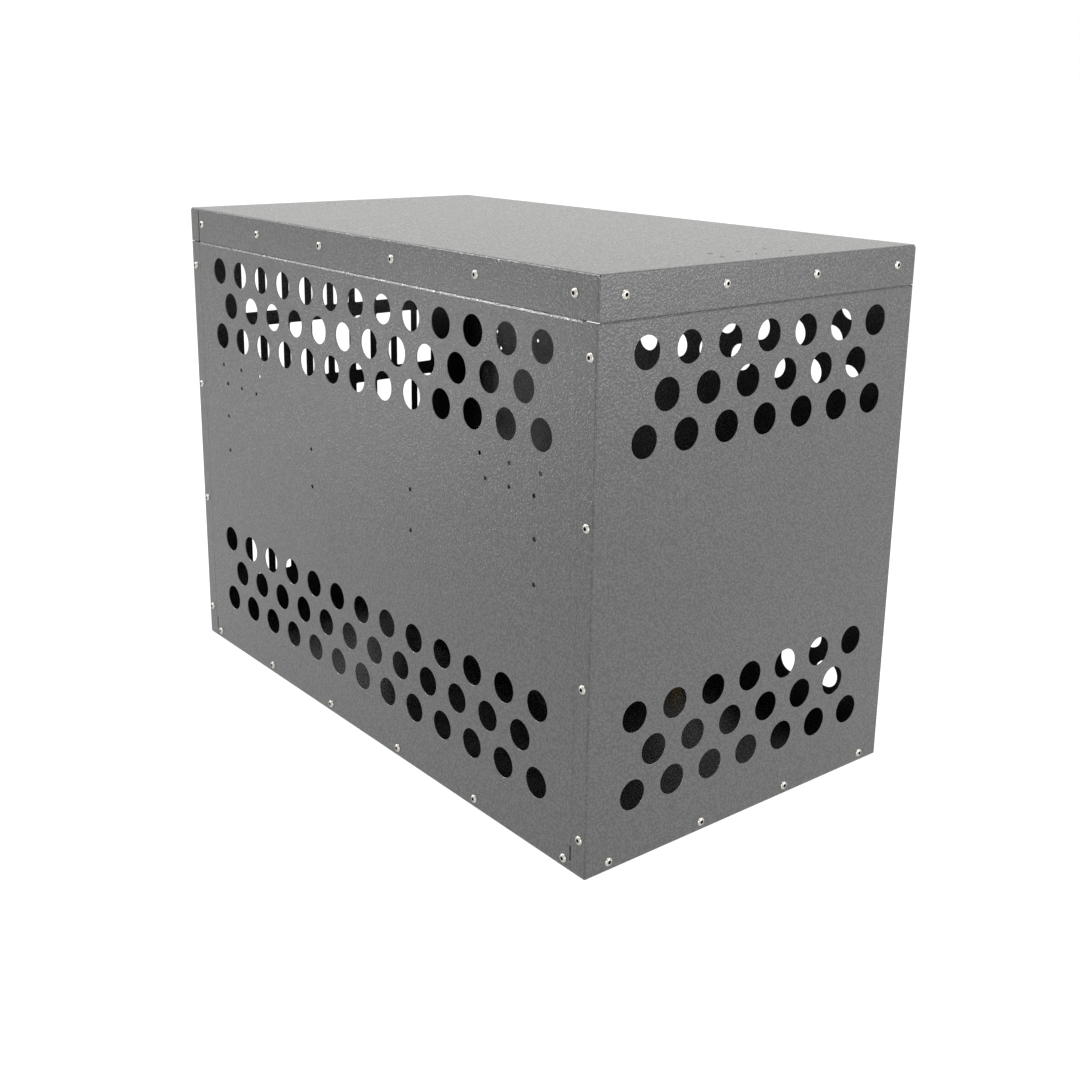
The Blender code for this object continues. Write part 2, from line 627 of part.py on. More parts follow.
def make_alternator():
    """Alternator bolted to the engine's drive side, carried at its far end by a bearing and a foot."""
    adapter_left = CRANKCASE_RIGHT + CRANKCASE_COVER_THICKNESS + 2 * GAP
    adapter_length = STATOR_LEFT - GAP - adapter_left
    adapter_start = CRANK + ALONG_X * adapter_left
    ring(
        "alternator_adapter", adapter_start, ALONG_X, adapter_length, STATOR_RADIUS, 0.072, "cast_aluminium",
    )
    stator_length = BRACKET_LEFT - GAP - STATOR_LEFT
    ring("stator", CRANK + ALONG_X * STATOR_LEFT, ALONG_X, stator_length, 0.092, 0.0695, "cast_iron")
    bracket = [
        (0.034, 0.026), (0.060, 0.026), (STATOR_RADIUS, 0.010), (STATOR_RADIUS, 0.0), (0.060, 0.0),
        (HOUSING_BORE, 0.003), (HOUSING_BORE, 0.026),
    ]
    turned("alternator_end_bracket", CRANK + ALONG_X * BRACKET_LEFT, ALONG_X, bracket, "cast_aluminium")
    cover = [(0.0, 0.030), (0.045, 0.030), (0.052, 0.022), (0.052, 0.0), (0.0, 0.0)]
    cover_start = CRANK + ALONG_X * (BRACKET_LEFT + 0.0263)
    turned("alternator_end_cover", cover_start, ALONG_X, cover, "black_plastic")
    foot = slab("alternator_foot", (0.062, 0.098), (0.030, 0.176), (SEAT, 0.125), "cast_iron")
    seat_start = CRANK + ALONG_X * 0.05
    cut(foot, rod("foot_seat", seat_start, ALONG_X, 0.07, STATOR_RADIUS + 0.002, sides=24))


def make_fuel_and_air():
    """Mixer, air filter, regulator and shut-off valve, with the hoses between them."""
    turn = cylinder_frame()
    box("gas_mixer", (0.0553, -0.020, 0.188), (0.100, 0.020, 0.222), "cast_aluminium", 0.004, turn=turn)
    pivot = MIXER_AXIS + FRONT_TO_BACK * GAP
    lever_turn = turn @ Matrix.Translation(pivot) @ Matrix.Rotation(THROTTLE_REST, 4, "Y")
    lever_low, lever_high = (-0.005, 0, -0.006), (0.005, 0.003, 0.028)
    lever = box("throttle_lever", lever_low, lever_high, "bright_steel", origin=(0, 0, 0), turn=lever_turn)
    into_mixer = turn.to_3x3() @ FRONT_TO_BACK
    join(lever, rod("throttle_lever_boss", turn @ pivot, into_mixer, 0.005, 0.008, sides=12))
    air_left = CRANKCASE_MIDDLE + 0.1003
    base_low, base_high = (air_left, -0.165, 0.235), (air_left + 0.030, -0.065, 0.345)
    box("air_filter_base", base_low, base_high, "black_plastic", 0.004)
    cover_low, cover_high = (air_left + 0.0303, -0.163, 0.237), (air_left + 0.080, -0.067, 0.343)
    box("air_filter_cover", cover_low, cover_high, "black_plastic", 0.008)

    plate_y = -HALF_DEPTH + JOGGLE
    plate_low, plate_high = (0.113, plate_y, 0.3185), (0.382, plate_y + 0.003, 0.3925)
    box("regulator_bracket", plate_low, plate_high, "hammertone_grey")
    regulator_y = plate_y + 0.003 + GAP
    regulator = [
        (0.0, 0.045), (0.030, 0.045), (0.034, 0.026), (0.058, 0.022), (0.058, 0.008), (0.030, 0.0),
        (0.0, 0.0),
    ]
    regulator_start = (VALVE.x, regulator_y, REGULATOR_Z)
    turned("gas_regulator", regulator_start, FRONT_TO_BACK, regulator, "cast_aluminium")
    valve = rod("gas_valve", VALVE, UP, 0.043, 0.013, "brass", 12)
    join(valve, rod("gas_valve_stem", VALVE + VALVE_STEM_UP, FRONT_TO_BACK, 0.022, 0.006, sides=12))
    handle_turn = Matrix.Translation(VALVE + VALVE_STEM_UP + FRONT_TO_BACK * 0.0223)
    handle_low, handle_high = (-0.006, 0, -0.055), (0.006, 0.003, 0.008)
    box("gas_valve_handle", handle_low, handle_high, "red_plastic", 0.001, (0, 0, 0), handle_turn)
    rod("gas_inlet", GAS_INLET, UP, 0.045, 0.015, "brass", 12)
    gland = [
        (0.0, 0.030), (0.012, 0.030), (0.020, 0.022), (0.020, 0.0033), (0.015, 0.0033), (0.015, 0.0),
        (0.0, 0.0),
    ]
    turned("conduit_gland", GLAND, UP, gland, "black_plastic", 12)
    mixer_end = turn @ Vector((MIXER_AXIS.x, -MIXER_AXIS.y - GAP, MIXER_AXIS.z))
    hose(
        "mixer_hose", (VALVE.x - 0.0583, regulator_y + 0.015, REGULATOR_Z), -ALONG_X,
        [(0.110, -0.228, 0.330), (0.040, -0.210, 0.270), (-0.030, -0.155, 0.215)],
        mixer_end, into_mixer, 0.008, "black_rubber",
    )
    hose(
        "supply_hose", GAS_INLET + UP * 0.0453, UP,
        [(0.190, 0.060, 0.090), (0.225, -0.060, 0.115), (VALVE.x, -0.160, 0.150)],
        VALVE - UP * GAP, UP, 0.010, "black_rubber",
    )


def make_exhaust():
    """Port pipe under the head, muffler by the alternator, and a tail pipe towards the right end's vents."""
    turn = cylinder_frame()
    port = turn @ Vector((0.025, -CYLINDER_HALF_Y - GAP, 0.205))
    down = turn.to_3x3() @ -FRONT_TO_BACK
    hose(
        "exhaust_pipe", port, down, [(-0.100, MUFFLER.y - 0.014, 0.186)],
        MUFFLER - ALONG_X * GAP, ALONG_X, 0.011, "hot_steel",
    )
    shoulder = 0.012
    body = [
        (0.0, MUFFLER_LENGTH), (0.030, MUFFLER_LENGTH), (MUFFLER_RADIUS, MUFFLER_LENGTH - shoulder),
        (MUFFLER_RADIUS, shoulder), (0.030, 0.0), (0.0, 0.0),
    ]
    turned("muffler", MUFFLER, ALONG_X, body, "hot_steel", 20)
    tail_start = MUFFLER + ALONG_X * (MUFFLER_LENGTH + GAP)
    ring("tail_pipe", tail_start, ALONG_X, 0.200, 0.013, 0.0115, "hot_steel", 12)
    left, right = 0.030, 0.050
    plate = 0.003
    rail_face = RAIL_COLUMNS_Y[0] - RAIL_SIZE / 2 - GAP
    arm_y, arm_z = MUFFLER.y - plate / 2, 0.100
    widths = (left, right)
    support = slab("muffler_support", widths, (arm_y, rail_face), (arm_z, arm_z + plate), "black_paint")
    leg_y, tip_y = (rail_face - plate, rail_face), (arm_y, arm_y + plate)
    down_leg = slab("muffler_support_leg", widths, leg_y, (RAIL_BOTTOM, arm_z + BITE))
    tip_top = MUFFLER.z - MUFFLER_RADIUS - GAP
    up_leg = slab("muffler_support_tip", widths, tip_y, (arm_z + BITE, tip_top))
    join(support, down_leg, up_leg)


def make_electrics():
    """Battery on the tray, and a control box behind the front panel with its controls on top."""
    low, high = BATTERY, BATTERY + BATTERY_SIZE
    battery = box("battery", low, high, "black_plastic", 0.004)
    post_x = (low.x + high.x) / 2
    posts = [(post_x, low.y + 0.03, high.z), (post_x, high.y - 0.03, high.z)]
    join(battery, rods("battery_posts", posts, UP, 0.026, 0.007, 10))
    strap, middle = 0.0065, (low.y + high.y) / 2
    widths, heights = (low.x - strap, high.x + strap), (low.z, high.z + 0.003)
    hold_down = slab("battery_hold_down", widths, (middle - 0.012, middle + 0.012), heights, "black_paint")
    under = slab("hold_down_space", (low.x - GAP, high.x + GAP), (low.y, high.y), (0, high.z + GAP))
    cut(hold_down, under)

    widths = (CONTROL_LEFT, CONTROL_RIGHT)
    inner_widths = (CONTROL_LEFT + SHEET, CONTROL_RIGHT - SHEET)
    front, back = -HALF_DEPTH + JOGGLE, CONTROL_BACK
    top = CONTROL_TOP
    control_box = slab("control_box", widths, (front, back), (CONTROL_BOTTOM, top), "hammertone_grey")
    inner_depths, inner_heights = (front + SHEET, back - SHEET), (CONTROL_BOTTOM + SHEET, top + BITE)
    cut(control_box, slab("control_box_hollow", inner_widths, inner_depths, inner_heights))
    panel_heights = (top + GAP, top + GAP + SHEET)
    panel = slab("control_panel", widths, (front, back), panel_heights, "black_paint")
    breaker_x, breaker_y = 0.013, 0.020
    breaker_hole = slab(
        "breaker_hole", (BREAKER.x - breaker_x - GAP, BREAKER.x + breaker_x + GAP),
        (BREAKER.y - breaker_y - GAP, BREAKER.y + breaker_y + GAP), (top - BITE, top + 5 * SHEET),
    )
    cut(panel, rod("button_hole", BUTTON - UP * 0.01, UP, 0.03, 0.0083, sides=12), breaker_hole)
    board_x, board_z = (CONTROL_LEFT + 0.015, CONTROL_RIGHT - 0.015), (CONTROL_BOTTOM + 0.012, top - 0.012)
    slab("controller_board", board_x, (front + 0.010, front + 0.012), board_z, "green_board")
    breaker_low = (BREAKER.x - breaker_x, BREAKER.y - breaker_y, 0.370)
    breaker_high = (BREAKER.x + breaker_x, BREAKER.y + breaker_y, 0.434)
    breaker = box("circuit_breaker", breaker_low, breaker_high, "black_plastic")
    toggle_space = slab(
        "toggle_space", (BREAKER.x - 0.0053, BREAKER.x + 0.0053), (BREAKER.y - 0.014, BREAKER.y + 0.014),
        (TOGGLE_PIVOT_Z - 0.008, 0.436),
    )
    cut(breaker, toggle_space)
    toggle_turn = Matrix.Translation(BREAKER + UP * TOGGLE_PIVOT_Z) @ Matrix.Rotation(TOGGLE_REST, 4, "X")
    toggle_low, toggle_high = (-0.005, -0.0035, -0.003), (0.005, 0.0035, 0.030)
    box("breaker_toggle", toggle_low, toggle_high, "red_plastic", 0.001, (0, 0, 0), toggle_turn)
    collar_start = BUTTON + UP * (SHEET + GAP)
    ring("button_collar", collar_start, UP, 0.005, 0.014, 0.0083, "bright_steel", 16)
    button = [(0.0, 0.014), (0.0075, 0.014), (0.0080, 0.012), (0.0080, -0.012), (0.0, -0.012)]
    turned("stop_button", BUTTON, UP, button, "red_plastic", 16)


clear_scene()
PARTS = make_collection("home_standby_generator")
CUTTERS = make_collection("cutters")
CUTTERS.hide_render = True
make_tray()
make_roof()
make_long_panels()
make_end_panels()
make_cradle()
make_engine()
make_rotating_set()
make_bearings()
make_shroud()
make_alternator()
make_fuel_and_air()
make_exhaust()
make_electrics()
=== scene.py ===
import json
import math
import random

import bmesh
import bpy
from mathutils import Matrix, Vector
from mathutils.geometry import delaunay_2d_cdt


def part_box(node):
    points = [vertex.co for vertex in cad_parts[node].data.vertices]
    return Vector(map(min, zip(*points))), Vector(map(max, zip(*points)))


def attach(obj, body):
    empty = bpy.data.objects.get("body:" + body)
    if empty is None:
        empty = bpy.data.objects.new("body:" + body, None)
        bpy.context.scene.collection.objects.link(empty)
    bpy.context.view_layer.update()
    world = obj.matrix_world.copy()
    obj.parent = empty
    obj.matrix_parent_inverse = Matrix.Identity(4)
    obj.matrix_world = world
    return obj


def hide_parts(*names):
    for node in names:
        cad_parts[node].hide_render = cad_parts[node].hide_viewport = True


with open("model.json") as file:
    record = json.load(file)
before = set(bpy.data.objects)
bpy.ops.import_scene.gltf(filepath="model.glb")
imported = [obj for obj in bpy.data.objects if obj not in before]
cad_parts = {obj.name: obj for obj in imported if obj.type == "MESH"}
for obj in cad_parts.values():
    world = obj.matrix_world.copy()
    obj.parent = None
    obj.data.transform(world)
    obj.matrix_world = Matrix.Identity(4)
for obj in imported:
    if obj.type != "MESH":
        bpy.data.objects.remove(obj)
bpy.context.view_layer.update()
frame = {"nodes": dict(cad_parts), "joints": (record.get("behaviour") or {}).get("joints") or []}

# All lengths are in metres. X runs from the left end to the right end, Y from the front to the
# back and Z up.

# Sheet metal of the housing
SHEET = 0.0015
GAP = 0.0002
JOGGLE = SHEET + GAP
TRAY_DEPTH = 0.0023
SEAM = 0.00035
FLANGE = 0.025
EDGE = 0.00035
BEND_RADIUS = 0.0024
BEND_ARC = BEND_RADIUS * math.pi / 2
STEP_RADIUS = 0.0012
STEP_ANGLE = math.radians(30)
STEP_RISE = 0.0036
FOLD_STEPS = 5
NEAR = 1e-7

# Heights and half sizes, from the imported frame
tray_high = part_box("base_tray")[1]
HALF_LENGTH = tray_high.x + TRAY_DEPTH
HALF_DEPTH = tray_high.y + TRAY_DEPTH
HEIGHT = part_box("roof")[1].z
RIM_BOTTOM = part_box("roof")[0].z
PANEL_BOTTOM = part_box("front_panel")[0].z
CLEAR = 0.001
PANEL_TOP = RIM_BOTTOM - CLEAR
TONGUE_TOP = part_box("front_panel")[1].z + CLEAR

# Openings
VENT_RADIUS = 0.019
VENT_PITCH = 0.0635
VENT_ROW_STEP = 0.0488
VENT_BLOCK_MIDDLES = (0.1343, 0.5537)
VENTS_IN_LONG_ROW = 13
VENTS_IN_END_ROW = 7
VENT_SIDES = 48
SLOT_COLUMNS = 9
SLOT_ROWS = 5
SLOT_WIDTH = 0.029
SLOT_HEIGHT = 0.0927
SLOT_PITCH_Y = 0.0415
SLOT_PITCH_Z = 0.1156
SLOT_TOP = 0.6133
SLOT_LOWEST = 0.0805
SLOT_CORNER = 0.0025
HOLE_SIDES = 16
BRACKET_HOLE_RADIUS = 0.0028
TRAPEZOID_X = 0.325
TRAPEZOID_ROWS = ((0.461, 0.0565), (0.433, 0.0450))
PAIR_COLUMNS = (0.123, 0.372)
PAIR_HEIGHTS = (0.3285, 0.3825)
ROOF_TRAPEZOID_Y = 0.015
ROOF_TRAPEZOID_ROWS = ((0.402, 0.0465), (0.432, 0.0580))
TRAY_HOLE_RADIUS = 0.0153
TRAY_HOLE_SIDES = 24

# Screws of the housing, and the heads: (radius, height) from the shank to the socket's rim
BUTTON_HEAD = (
    (0.0028, -0.0024), (0.0028, 0.0), (0.0055, 0.0), (0.0055, 0.0004), (0.0053, 0.0009),
    (0.0048, 0.0015), (0.0041, 0.0020), (0.0033, 0.0023), (0.0028, 0.00245),
)
SOCKET_ACROSS = 0.0050
SOCKET_RIM, SOCKET_FLOOR = 0.0024, 0.0003
RIM_SCREW_Z = 0.667
BOTTOM_SCREW_Z = 0.012
SCREWS_ALONG = (-0.4332, -0.2597, -0.0866, 0.0866, 0.2597, 0.4332)
SCREWS_ACROSS = (-0.225, -0.075, 0.075, 0.225)
FLANGE_SCREW_X = 0.460
FLANGE_SCREW_HEIGHTS = (0.047, 0.232, 0.418, 0.603)
SCREW_HOLE = 0.0030

# Joints between the sheets, where a pair of seams is at the left and at the right
BACKING_LOW = 0.062
BACKING_TOP_GAP = 0.010
BACKING_HALF_WIDTH = 0.0185
BACKING_SHIFT = 0.0005
SLIT_LOW = 0.013
SLIT_HIGH = 0.033
SLIT_WIDTH = 0.0023
END_TAB_INSET = 0.0016
END_NOTCH = 0.0008
RELIEF = 0.0006
ROOF_SEAMS = (0.0026, 0.00008)
TAB_STEP = 0.0004
TAB_NOSE = 0.003

# The set inside
CRANK = Vector(next(
    joint["pos_m"] for joint in frame["joints"] if joint["name"] == "crankshaft_spin"))
CYLINDER_TILT = math.radians(25)
CREASE = math.radians(40)
SHEET_CREASE = math.radians(30)
LATHE_CREASE = math.radians(32)
SCREW_CREASE = math.radians(38)
HEXAGON_CREASE = math.radians(25)
STATOR_BORE = 0.0695
LAMINATION_BANDS = 15
GUARD_WIRE = 0.0022
GUARD_RADII = (0.018, 0.031, 0.044, 0.057, 0.070)
GUARD_REACH = 0.080
GUARD_SPOKES = 6
RAIL_BOLTS_X = (-0.27, 0.11)
RAIL_BOLTS_Y = (0.042, 0.165)
BOLT_FLANGE, BOLT_FLANGE_SPAN = 0.0078, (0.0, 0.0010)
BOLT_ACROSS, BOLT_HEX_SPAN = 0.0115, (0.0014, 0.0050)
BOLT_TOP, BOLT_HEIGHT = 0.0046, 0.0058
TIE_BOLTS = 4
TIE_BOLT_RADIUS = 0.084
TIE_BOSS_RADIUS = 0.0075
TIE_BOSS_LENGTH = 0.0130
TIE_BOSS_START = 0.006
CYLINDER_SHIFT = -0.014
ROCKER_BOLTS_X = (-0.026, 0.026)
ROCKER_BOLTS_Y = (-0.029, 0.029)
REGULATOR_SCREWS = 8
REGULATOR_SCREW_CIRCLE = 0.050
REGULATOR_FLANGE = 0.0231
PANEL_SCREW_INSET = 0.010
CRANKCASE_HALF_LENGTH = 0.0775
SUPPLY_HOSE_RADIUS = 0.010
CLAMP_WIDTH = 0.008
MUFFLER_SEAM_INSET = 0.013
MUFFLER_SEAM_WIRE = 0.0032
SHROUD_BEAD_WIRE = 0.0030
SHROUD_RADIUS = 0.122
BATTERY_TOP = 0.1233
BATTERY_CAPS_Y = (-0.065, -0.040, 0.040, 0.065)
BATTERY_CAP_INSET = 0.018
BATTERY_CAP = (
    (0.0085, -0.0005), (0.0085, 0.0022), (0.0078, 0.0030), (0.0040, 0.0030), (0.0034, 0.0018),
)
CRANK_NUT = ((0.0300, 0.0012), (0.0330, 0.0025), (0.0330, 0.0098), (0.0300, 0.0110))
WIRE_SIDES = 12
RING_WIRE_SIDES = 10
LATHE_SIDES = 72
FASTENER_SIDES = 36
SET_BODY = "housing_and_set"
SPIN = random.Random(7)
ALONG_X = Vector((1, 0, 0))
ALONG_Y = Vector((0, 1, 0))
UP = Vector((0, 0, 1))

# Camera, fitted to the photo's corners and vents
CAMERA_PLACE = (1.518801, -1.190250, 0.870731)
CAMERA_AZIMUTH = math.radians(51.42470)
CAMERA_ELEVATION = math.radians(14.92241)
CAMERA_ROLL = math.radians(0.68053)
CAMERA_LENS = 46.182
CAMERA_SHIFT = (0.01386, -0.07633)

# Lights: where, toward, size, watts, colour, and the way the second side lies
WHITE = (1, 1, 1)
SOFTBOXES = {
    "overhead": ((0.0, 0.0, 3.4), (0, 0, 0.4), (1.4, 1.4), 138, (1.0, 0.96, 0.92), ALONG_Y),
    "left_key": ((-3.52, -2.62, 2.75), (0.35, -0.26, 0.64), (0.4, 1.0), 135, WHITE,
                 (0, 0.35, 0.94)),
    "left_low": ((-1.65, -1.75, 0.15), (0.3, -0.26, 0.58), (0.2, 0.16), 3.4, WHITE, UP),
    "front_fill": ((2.6, -2.3, 0.36), (0.47, -0.26, 0.36), (1.0, 0.6), 27, WHITE, UP),
    "right_fill": ((2.6, 1.0, 1.0), (0.47, 0, 0.4), (1.8, 1.4), 50, WHITE, UP),
}
WORLD_STRENGTH = 1.0
FLOOR_TONE = 0.1
FLOOR_GLOW = 0.95
FLOOR_RADIUS = 25
FLOOR_DROP = 0.0005

# Hammertone coat: lengths in metres, scales in cells or waves per metre
COAT_DARK, COAT_LIGHT = (0.082, 0.084, 0.082), (0.095, 0.097, 0.095)
COAT_VEIN = (0.059, 0.061, 0.060)
# Lighter cut edges: part painted highlight, part worn coat
COAT_EDGE_WEAR_AND_SHEEN = (0.24, 0.24, 0.235)
# Painted shade: near-black colours for the sheets' inner side and small holes' walls
INSIDE_SHADE_DARK, INSIDE_SHADE_LIGHT = (0.016, 0.016, 0.017), (0.026, 0.025, 0.026)
CELL_SCALE = 340
WANDER_SCALE = 420
WANDER_REACH = 0.0032
COAT_DEPTH = 0.00024


# ---------------------------------------------------------------- materials

def add(tree, kind, inputs=None, **settings):
    """A shader node with these settings, its inputs set to constants or linked to sockets."""
    made = tree.nodes.new(kind)
    for key, value in settings.items():
        setattr(made, key, value)
    for key, value in (inputs or {}).items():
        if isinstance(value, bpy.types.NodeSocket):
            tree.links.new(value, made.inputs[key])
        else:
            made.inputs[key].default_value = value
    return made


def new_material(name, **constants):
    material = bpy.data.materials.new(name)
    material.use_nodes = True
    tree = material.node_tree
    shader = tree.nodes["Principled BSDF"]
    for key, value in constants.items():
        shader.inputs[key.replace("_", " ")].default_value = value
    place = add(tree, "ShaderNodeTexCoord").outputs["Object"]
    return material, tree, shader, place


def noise(tree, place, size, detail=2.0):
    """Noise whose features are about this many metres across."""
    return add(tree, "ShaderNodeTexNoise", {
        "Vector": place, "Scale": 1 / size, "Detail": detail,
    }).outputs["Fac"]


def span(tree, value, low, high, to_low, to_high):
    return add(tree, "ShaderNodeMapRange", {
        "Value": value, "From Min": low, "From Max": high, "To Min": to_low, "To Max": to_high,
    }).outputs["Result"]


def blend_colour(tree, factor, first, second):
    mix = add(tree, "ShaderNodeMix", {"Factor": factor}, data_type="RGBA")
    for socket, value in ((mix.inputs[6], first), (mix.inputs[7], second)):
        if isinstance(value, bpy.types.NodeSocket):
            tree.links.new(value, socket)
        else:
            socket.default_value = (*value, 1)
    return mix.outputs[2]


def plus(tree, first, second, share):
    """first plus share times second."""
    sum_node = add(tree, "ShaderNodeMath", {0: second, 1: share, 2: first},
                   operation="MULTIPLY_ADD")
    return sum_node.outputs[0]


def marked(tree, name):
    """How far the surface has this mark, which the piece's mesh carries at its vertices."""
    return add(tree, "ShaderNodeAttribute", attribute_name=name).outputs["Fac"]


def bump(tree, shader, height, depth):
    made = add(tree, "ShaderNodeBump", {"Height": height, "Distance": depth, "Strength": 1.0})
    tree.links.new(made.outputs["Normal"], shader.inputs["Normal"])


def hammertone():
    """Grey hammered powder coat: raised cells about 3 mm across, with dark veins between them.

    Cut edges are painted lighter: part painted highlight, part worn coat. A sheet's inner side
    and the walls of its small holes are painted near black, as painted shade inside the housing.
    """
    material, tree, shader, place = new_material("hammertone_coat", Metallic=0.15, IOR=1.38)
    wander = add(tree, "ShaderNodeTexNoise", {
        "Vector": place, "Scale": WANDER_SCALE, "Detail": 1.0,
    }).outputs["Color"]
    warped = add(tree, "ShaderNodeVectorMath", {
        0: wander, 1: (WANDER_REACH, WANDER_REACH, WANDER_REACH), 2: place,
    }, operation="MULTIPLY_ADD").outputs[0]
    cells = add(tree, "ShaderNodeTexVoronoi", {
        "Vector": warped, "Scale": CELL_SCALE, "Smoothness": 0.3,
    }, feature="SMOOTH_F1").outputs["Distance"]
    veins = span(tree, cells, 0.28, 0.62, 0.0, 1.0)
    fine = noise(tree, place, 0.0011)
    broad = noise(tree, place, 0.11, 3.0)
    flat = blend_colour(tree, broad, COAT_DARK, COAT_LIGHT)
    coat = blend_colour(tree, veins, flat, COAT_VEIN)
    # Cut edges painted lighter: part painted highlight, part worn coat
    worn = span(tree, plus(tree, marked(tree, "edge"), fine, 0.8), 0.85, 1.5, 0.0, 0.8)
    coat = blend_colour(tree, worn, coat, COAT_EDGE_WEAR_AND_SHEEN)
    # Painted shade: the inner side and small holes' walls are painted near black, so the inside
    # reads dark
    painted_inside_shade = blend_colour(tree, broad, INSIDE_SHADE_DARK, INSIDE_SHADE_LIGHT)
    colour = blend_colour(tree, marked(tree, "inner"), coat, painted_inside_shade)
    roughness = span(tree, plus(tree, veins, fine, 0.6), 0.2, 1.2, 0.18, 0.30)
    tree.links.new(colour, shader.inputs["Base Color"])
    tree.links.new(roughness, shader.inputs["Roughness"])
    dome = span(tree, cells, 0.0, 0.7, 1.0, 0.0)
    bump(tree, shader, plus(tree, dome, noise(tree, place, 0.0018, 1.0), 0.9), COAT_DEPTH)
    return material


def grained(name, dark, light, size, roughness, metallic=0.0, depth=0.0001, worn=None):
    """A finish whose colour, roughness and surface vary with one grain.

    With a colour for worn, it is worn to that colour along its edges.
    """
    material, tree, shader, place = new_material(name, Metallic=metallic)
    fine = noise(tree, place, size, 3.0)
    broad = noise(tree, place, size * 25)
    tone = plus(tree, span(tree, fine, 0.3, 0.7, 0.0, 0.7), broad, 0.4)
    colour = blend_colour(tree, tone, dark, light)
    if worn:
        sharp = add(tree, "ShaderNodeNewGeometry").outputs["Pointiness"]
        bright = span(tree, plus(tree, sharp, fine, 0.08), 0.56, 0.64, 0.0, 0.7)
        colour = blend_colour(tree, bright, colour, worn)
    tree.links.new(colour, shader.inputs["Base Color"])
    tree.links.new(span(tree, fine, 0.3, 0.7, *roughness), shader.inputs["Roughness"])
    bump(tree, shader, fine, depth)
    return material


def screw_steel():
    """Dull stainless steel, with painted shade in the socket."""
    material, tree, shader, place = new_material("dull_stainless", Metallic=0.85)
    fine = noise(tree, place, 0.0007, 3.0)
    steel = blend_colour(tree, fine, (0.34, 0.325, 0.295), (0.56, 0.54, 0.50))
    # Painted shade: the socket is painted near black where the mesh has the recess mark
    socket_painted_shade = blend_colour(tree, marked(tree, "recess"), steel, (0.010, 0.010, 0.010))
    tree.links.new(socket_painted_shade, shader.inputs["Base Color"])
    tree.links.new(span(tree, fine, 0.3, 0.7, 0.22, 0.40), shader.inputs["Roughness"])
    bump(tree, shader, fine, 0.00004)
    return material


# Each slot's finish: its name, dark and light colour, grain size and span of roughness
LOOKS = {
    "hammertone": hammertone(),
    "black_paint": grained(
        "satin_black_paint", (0.012, 0.012, 0.013), (0.030, 0.030, 0.032), 0.0015, (0.35, 0.50),
        depth=0.00012, worn=(0.10, 0.10, 0.10)),
    "cast_aluminium": grained(
        "sand_cast_aluminium", (0.30, 0.31, 0.32), (0.50, 0.51, 0.52), 0.0018, (0.42, 0.62),
        metallic=0.9, depth=0.0003, worn=(0.66, 0.67, 0.68)),
    "cast_iron": grained(
        "cast_iron_skin", (0.05, 0.05, 0.052), (0.12, 0.12, 0.122), 0.0022, (0.50, 0.72),
        metallic=0.6, depth=0.0004, worn=(0.22, 0.22, 0.22)),
    "bright_steel": grained(
        "bright_stainless", (0.42, 0.42, 0.41), (0.62, 0.62, 0.61), 0.0008, (0.18, 0.32),
        metallic=1.0, depth=0.00002),
    "hot_steel": grained(
        "heat_tinted_steel", (0.16, 0.12, 0.09), (0.36, 0.32, 0.28), 0.004, (0.35, 0.55),
        metallic=0.9, worn=(0.45, 0.40, 0.36)),
    "brass": grained(
        "forged_brass", (0.48, 0.33, 0.12), (0.66, 0.48, 0.20), 0.0015, (0.25, 0.42),
        metallic=1.0, worn=(0.80, 0.62, 0.30)),
    "black_rubber": grained(
        "black_rubber_matt", (0.012, 0.012, 0.012), (0.030, 0.030, 0.030), 0.001, (0.70, 0.90)),
    "black_plastic": grained(
        "moulded_black_plastic", (0.014, 0.014, 0.015), (0.035, 0.035, 0.037), 0.0008,
        (0.42, 0.60), depth=0.00006),
    "red_plastic": grained(
        "moulded_red_plastic", (0.42, 0.012, 0.010), (0.60, 0.030, 0.020), 0.001, (0.28, 0.42),
        depth=0.00004),
    "circuit_board": grained(
        "green_circuit_board", (0.010, 0.090, 0.035), (0.020, 0.180, 0.070), 0.003, (0.30, 0.50),
        depth=0.00005),
}
SCREW_STEEL = screw_steel()


def dress(piece, slot_name, body=SET_BODY):
    """Gives a piece its material and slot, and the body that it rides on."""
    piece.data.materials.clear()
    piece.data.materials.append(LOOKS[slot_name])
    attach(piece, body)


def mark(mesh, name, values):
    """Stores a number at each vertex of a mesh, for the materials to read."""
    layer = mesh.attributes.new(name, "FLOAT", "POINT")
    layer.data.foreach_set("value", values)


def link(name, mesh, matrix=None):
    piece = bpy.data.objects.new(name, mesh)
    bpy.context.scene.collection.objects.link(piece)
    if matrix:
        piece.matrix_world = matrix
    return piece


# ---------------------------------------------------------------- sheet metal

def follow(bends, run):
    """(forward, inward, heading) after this run along a sheet's outer face.

    Each bend on the way is (start, radius, angle).
    """
    forward = inward = heading = reached = 0.0
    for start, radius, angle in bends:
        if run <= start:
            break
        forward += (start - reached) * math.cos(heading)
        inward += (start - reached) * math.sin(heading)
        side = math.copysign(1, angle)
        length = min(run - start, radius * abs(angle))
        turned = side * length / radius
        forward += side * radius * (math.sin(heading + turned) - math.sin(heading))
        inward += side * radius * (math.cos(heading) - math.cos(heading + turned))
        heading += turned
        reached = start + length
    forward += (run - reached) * math.cos(heading)
    inward += (run - reached) * math.sin(heading)
    return forward, inward, heading


def bend_lines(bends):
    """The places of a fold's facets along the flat sheet."""
    return [start + radius * abs(angle) * i / FOLD_STEPS
            for start, radius, angle in bends for i in range(FOLD_STEPS + 1)]


